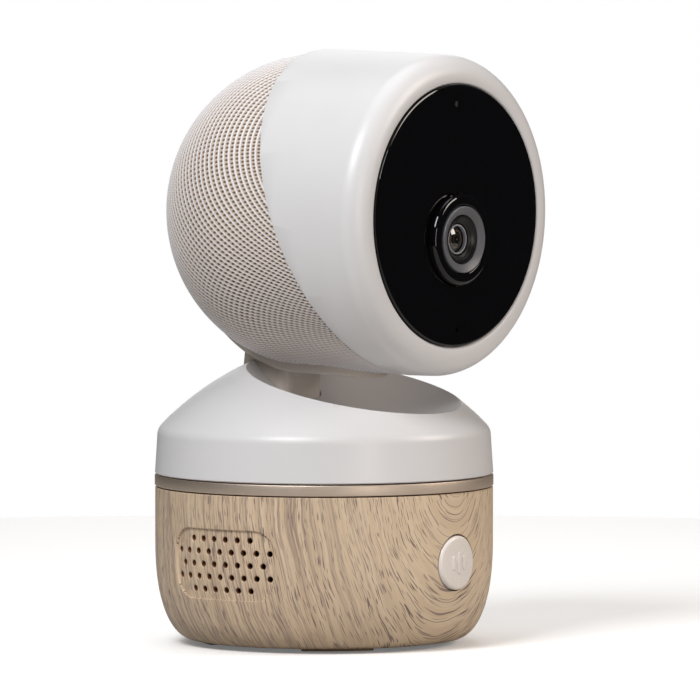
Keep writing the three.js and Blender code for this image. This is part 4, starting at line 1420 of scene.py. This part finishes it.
@dataclass
class Works:
    """The CAD pieces that stay as they are, each with its finish."""

    finishes: tuple[Finish, ...] = (
        PEARL, NECK, BUTTON, CHAMPAGNE, WOOD, KNIT, ACRYLIC, GREY_RING, BRIGHT_RING, GLASS, BLACK, RUBBER,
        STEEL, MOTOR, ACETAL, PAPER, BOARD,
    )

    def dress(self) -> None:
        """Gives every CAD node that still shows the finish of its slot in the record."""
        by_slot = {finish.slot: finish for finish in self.finishes}
        for entry in frame["record"]["subparts"]:
            finish = DIFFUSER if entry["node"] == "status_light" else by_slot[entry["material_slot"]]
            for material_slot in frame["nodes"][entry["node"]].material_slots:
                material_slot.material = finish.material()
        log.info("dressed %d CAD nodes", len(frame["nodes"]))


@dataclass
class Studio:
    """Pale floor, soft light from the left and above, and the camera.

    Args:
        eye: the camera's place, in millimetres.
        direction: which way it looks.
        focal: its focal length, in millimetres.
        aim: the height that the lights face.
        floor_radius: the floor disc's radius.
        bounce: the tone with which the floor throws light back.
        glow: how much the floor is lifted towards white where the camera sees it.
        ambient: the backdrop's strength as soft light, and in reflections.
    """

    eye: tuple[float, float, float] = (-1954.2, -1559.3, 217.44)
    direction: tuple[float, float, float] = (0.7818, 0.6207, -0.0594)
    focal: float = 547.06
    bounce: str = "#B4B1AE"
    glow: float = 0.16
    aim: float = 70.0
    floor_radius: float = 400.0
    ambient: Point = (0.13, 0.03)

    def build(self) -> None:
        """Sets the floor, lights, world and camera."""
        self.floor()
        self.light("key", (-580, -90, 620), (330, 330), 5.2, "#FDFEFF")
        self.light("front_fill", (-300, -740, 140), (120, 380), 1.0, "#FFF6EE")
        self.light("front_right", (420, -640, 420), (300, 300), 2.75, "#FFF3E8")
        self.light("top", (60, 80, 760), (560, 560), 1.7, "#FFFFFF")
        self.light("rim", (520, 420, 300), (300, 500), 0.6, "#FFFFFF")
        self.world()
        self.camera()

    def floor(self) -> None:
        """A plain pale floor: a disc that throws back less light than it shows, as over a light table."""
        bpy.ops.object.select_all(action="DESELECT")
        bpy.ops.mesh.primitive_circle_add(vertices=96, radius=self.floor_radius * MM, fill_type="NGON")
        floor = bpy.context.object
        floor.name = "floor"
        floor.location.z = -0.3 * MM
        card = Moulded("pale_matt_floor", "pearl_plastic", "#FFFFFF", "#FDFCFC", (0.7, 0.8), 2.0, 0.0)
        paper = card.material()
        tree = paper.node_tree
        shader = next(n for n in tree.nodes if n.type == "BSDF_PRINCIPLED")
        tone = shader.inputs["Base Color"].links[0].from_socket
        seen = add_node(tree, "LightPath").outputs["Is Camera Ray"]
        shown = add_node(
            tree, "Mix", {"Factor": seen, 6: linear(self.bounce), 7: tone}, data_type="RGBA"
        ).outputs[2]
        glow = add_node(tree, "Math", {0: seen, 1: self.glow}, operation="MULTIPLY").outputs[0]
        tree.links.new(shown, shader.inputs["Base Color"])
        tree.links.new(glow, shader.inputs["Emission Strength"])
        shader.inputs["Emission Color"].default_value = (1, 1, 1, 1)
        floor.data.materials.append(paper)

    def light(
        self, name: str, place: tuple[float, float, float], size: Point, power: float, colour: str
    ) -> None:
        """Adds a soft rectangular light that faces the middle of the object.

        Args:
            name: the light's name.
            place: where it stands, in millimetres.
            size: its width and height, in millimetres.
            power: its power, in watts.
            colour: its tint, "#RRGGBB".
        """
        data = bpy.data.lights.new(name, "AREA")
        data.shape = "RECTANGLE"
        data.size, data.size_y = size[0] * MM, size[1] * MM
        data.energy = power
        data.color = linear(colour)[:3]
        lamp = bpy.data.objects.new(name, data)
        bpy.context.scene.collection.objects.link(lamp)
        lamp.location = Vector(place) * MM
        lamp.rotation_euler = (Vector((0, 0, self.aim)) - Vector(place)).to_track_quat("-Z", "Y").to_euler()

    def world(self) -> None:
        """A white backdrop that lights the scene more softly than it looks."""
        world = bpy.data.worlds.new("studio")
        bpy.context.scene.world = world
        world.use_nodes = True
        tree = world.node_tree
        background = next(n for n in tree.nodes if n.type == "BACKGROUND")
        path = add_node(tree, "LightPath").outputs
        diffuse, glossy = self.ambient
        soft = add_node(
            tree, "MapRange", {"Value": path["Is Glossy Ray"], "To Min": diffuse, "To Max": glossy}
        ).outputs[0]
        strength = add_node(tree, "Mix", {"Factor": path["Is Camera Ray"], 2: soft, 3: 1.0})
        background.inputs["Color"].default_value = (1, 1, 1, 1)
        tree.links.new(strength.outputs[0], background.inputs["Strength"])
        settings = bpy.context.scene.view_settings
        settings.view_transform = "Standard"
        settings.look = "None"

    def camera(self) -> None:
        """A long lens, a little above the object, to the left of its front."""
        data = bpy.data.cameras.new("camera")
        data.lens = self.focal
        data.sensor_width = 36
        data.clip_end = 20
        camera = bpy.data.objects.new("camera", data)
        bpy.context.scene.collection.objects.link(camera)
        camera.location = Vector(self.eye) * MM
        camera.rotation_euler = Vector(self.direction).to_track_quat("-Z", "Y").to_euler()
        bpy.context.scene.camera = camera


def main() -> None:
    """Builds the camera's pieces, the finishes of its works, and the studio;."""
    logging.basicConfig(level=logging.INFO, format="%(message)s")
    Base().build()
    Turret().build()
    Head().build()
    Lens().build()
    Works().dress()
    Studio().build()


if __name__ == "__main__":
    main()
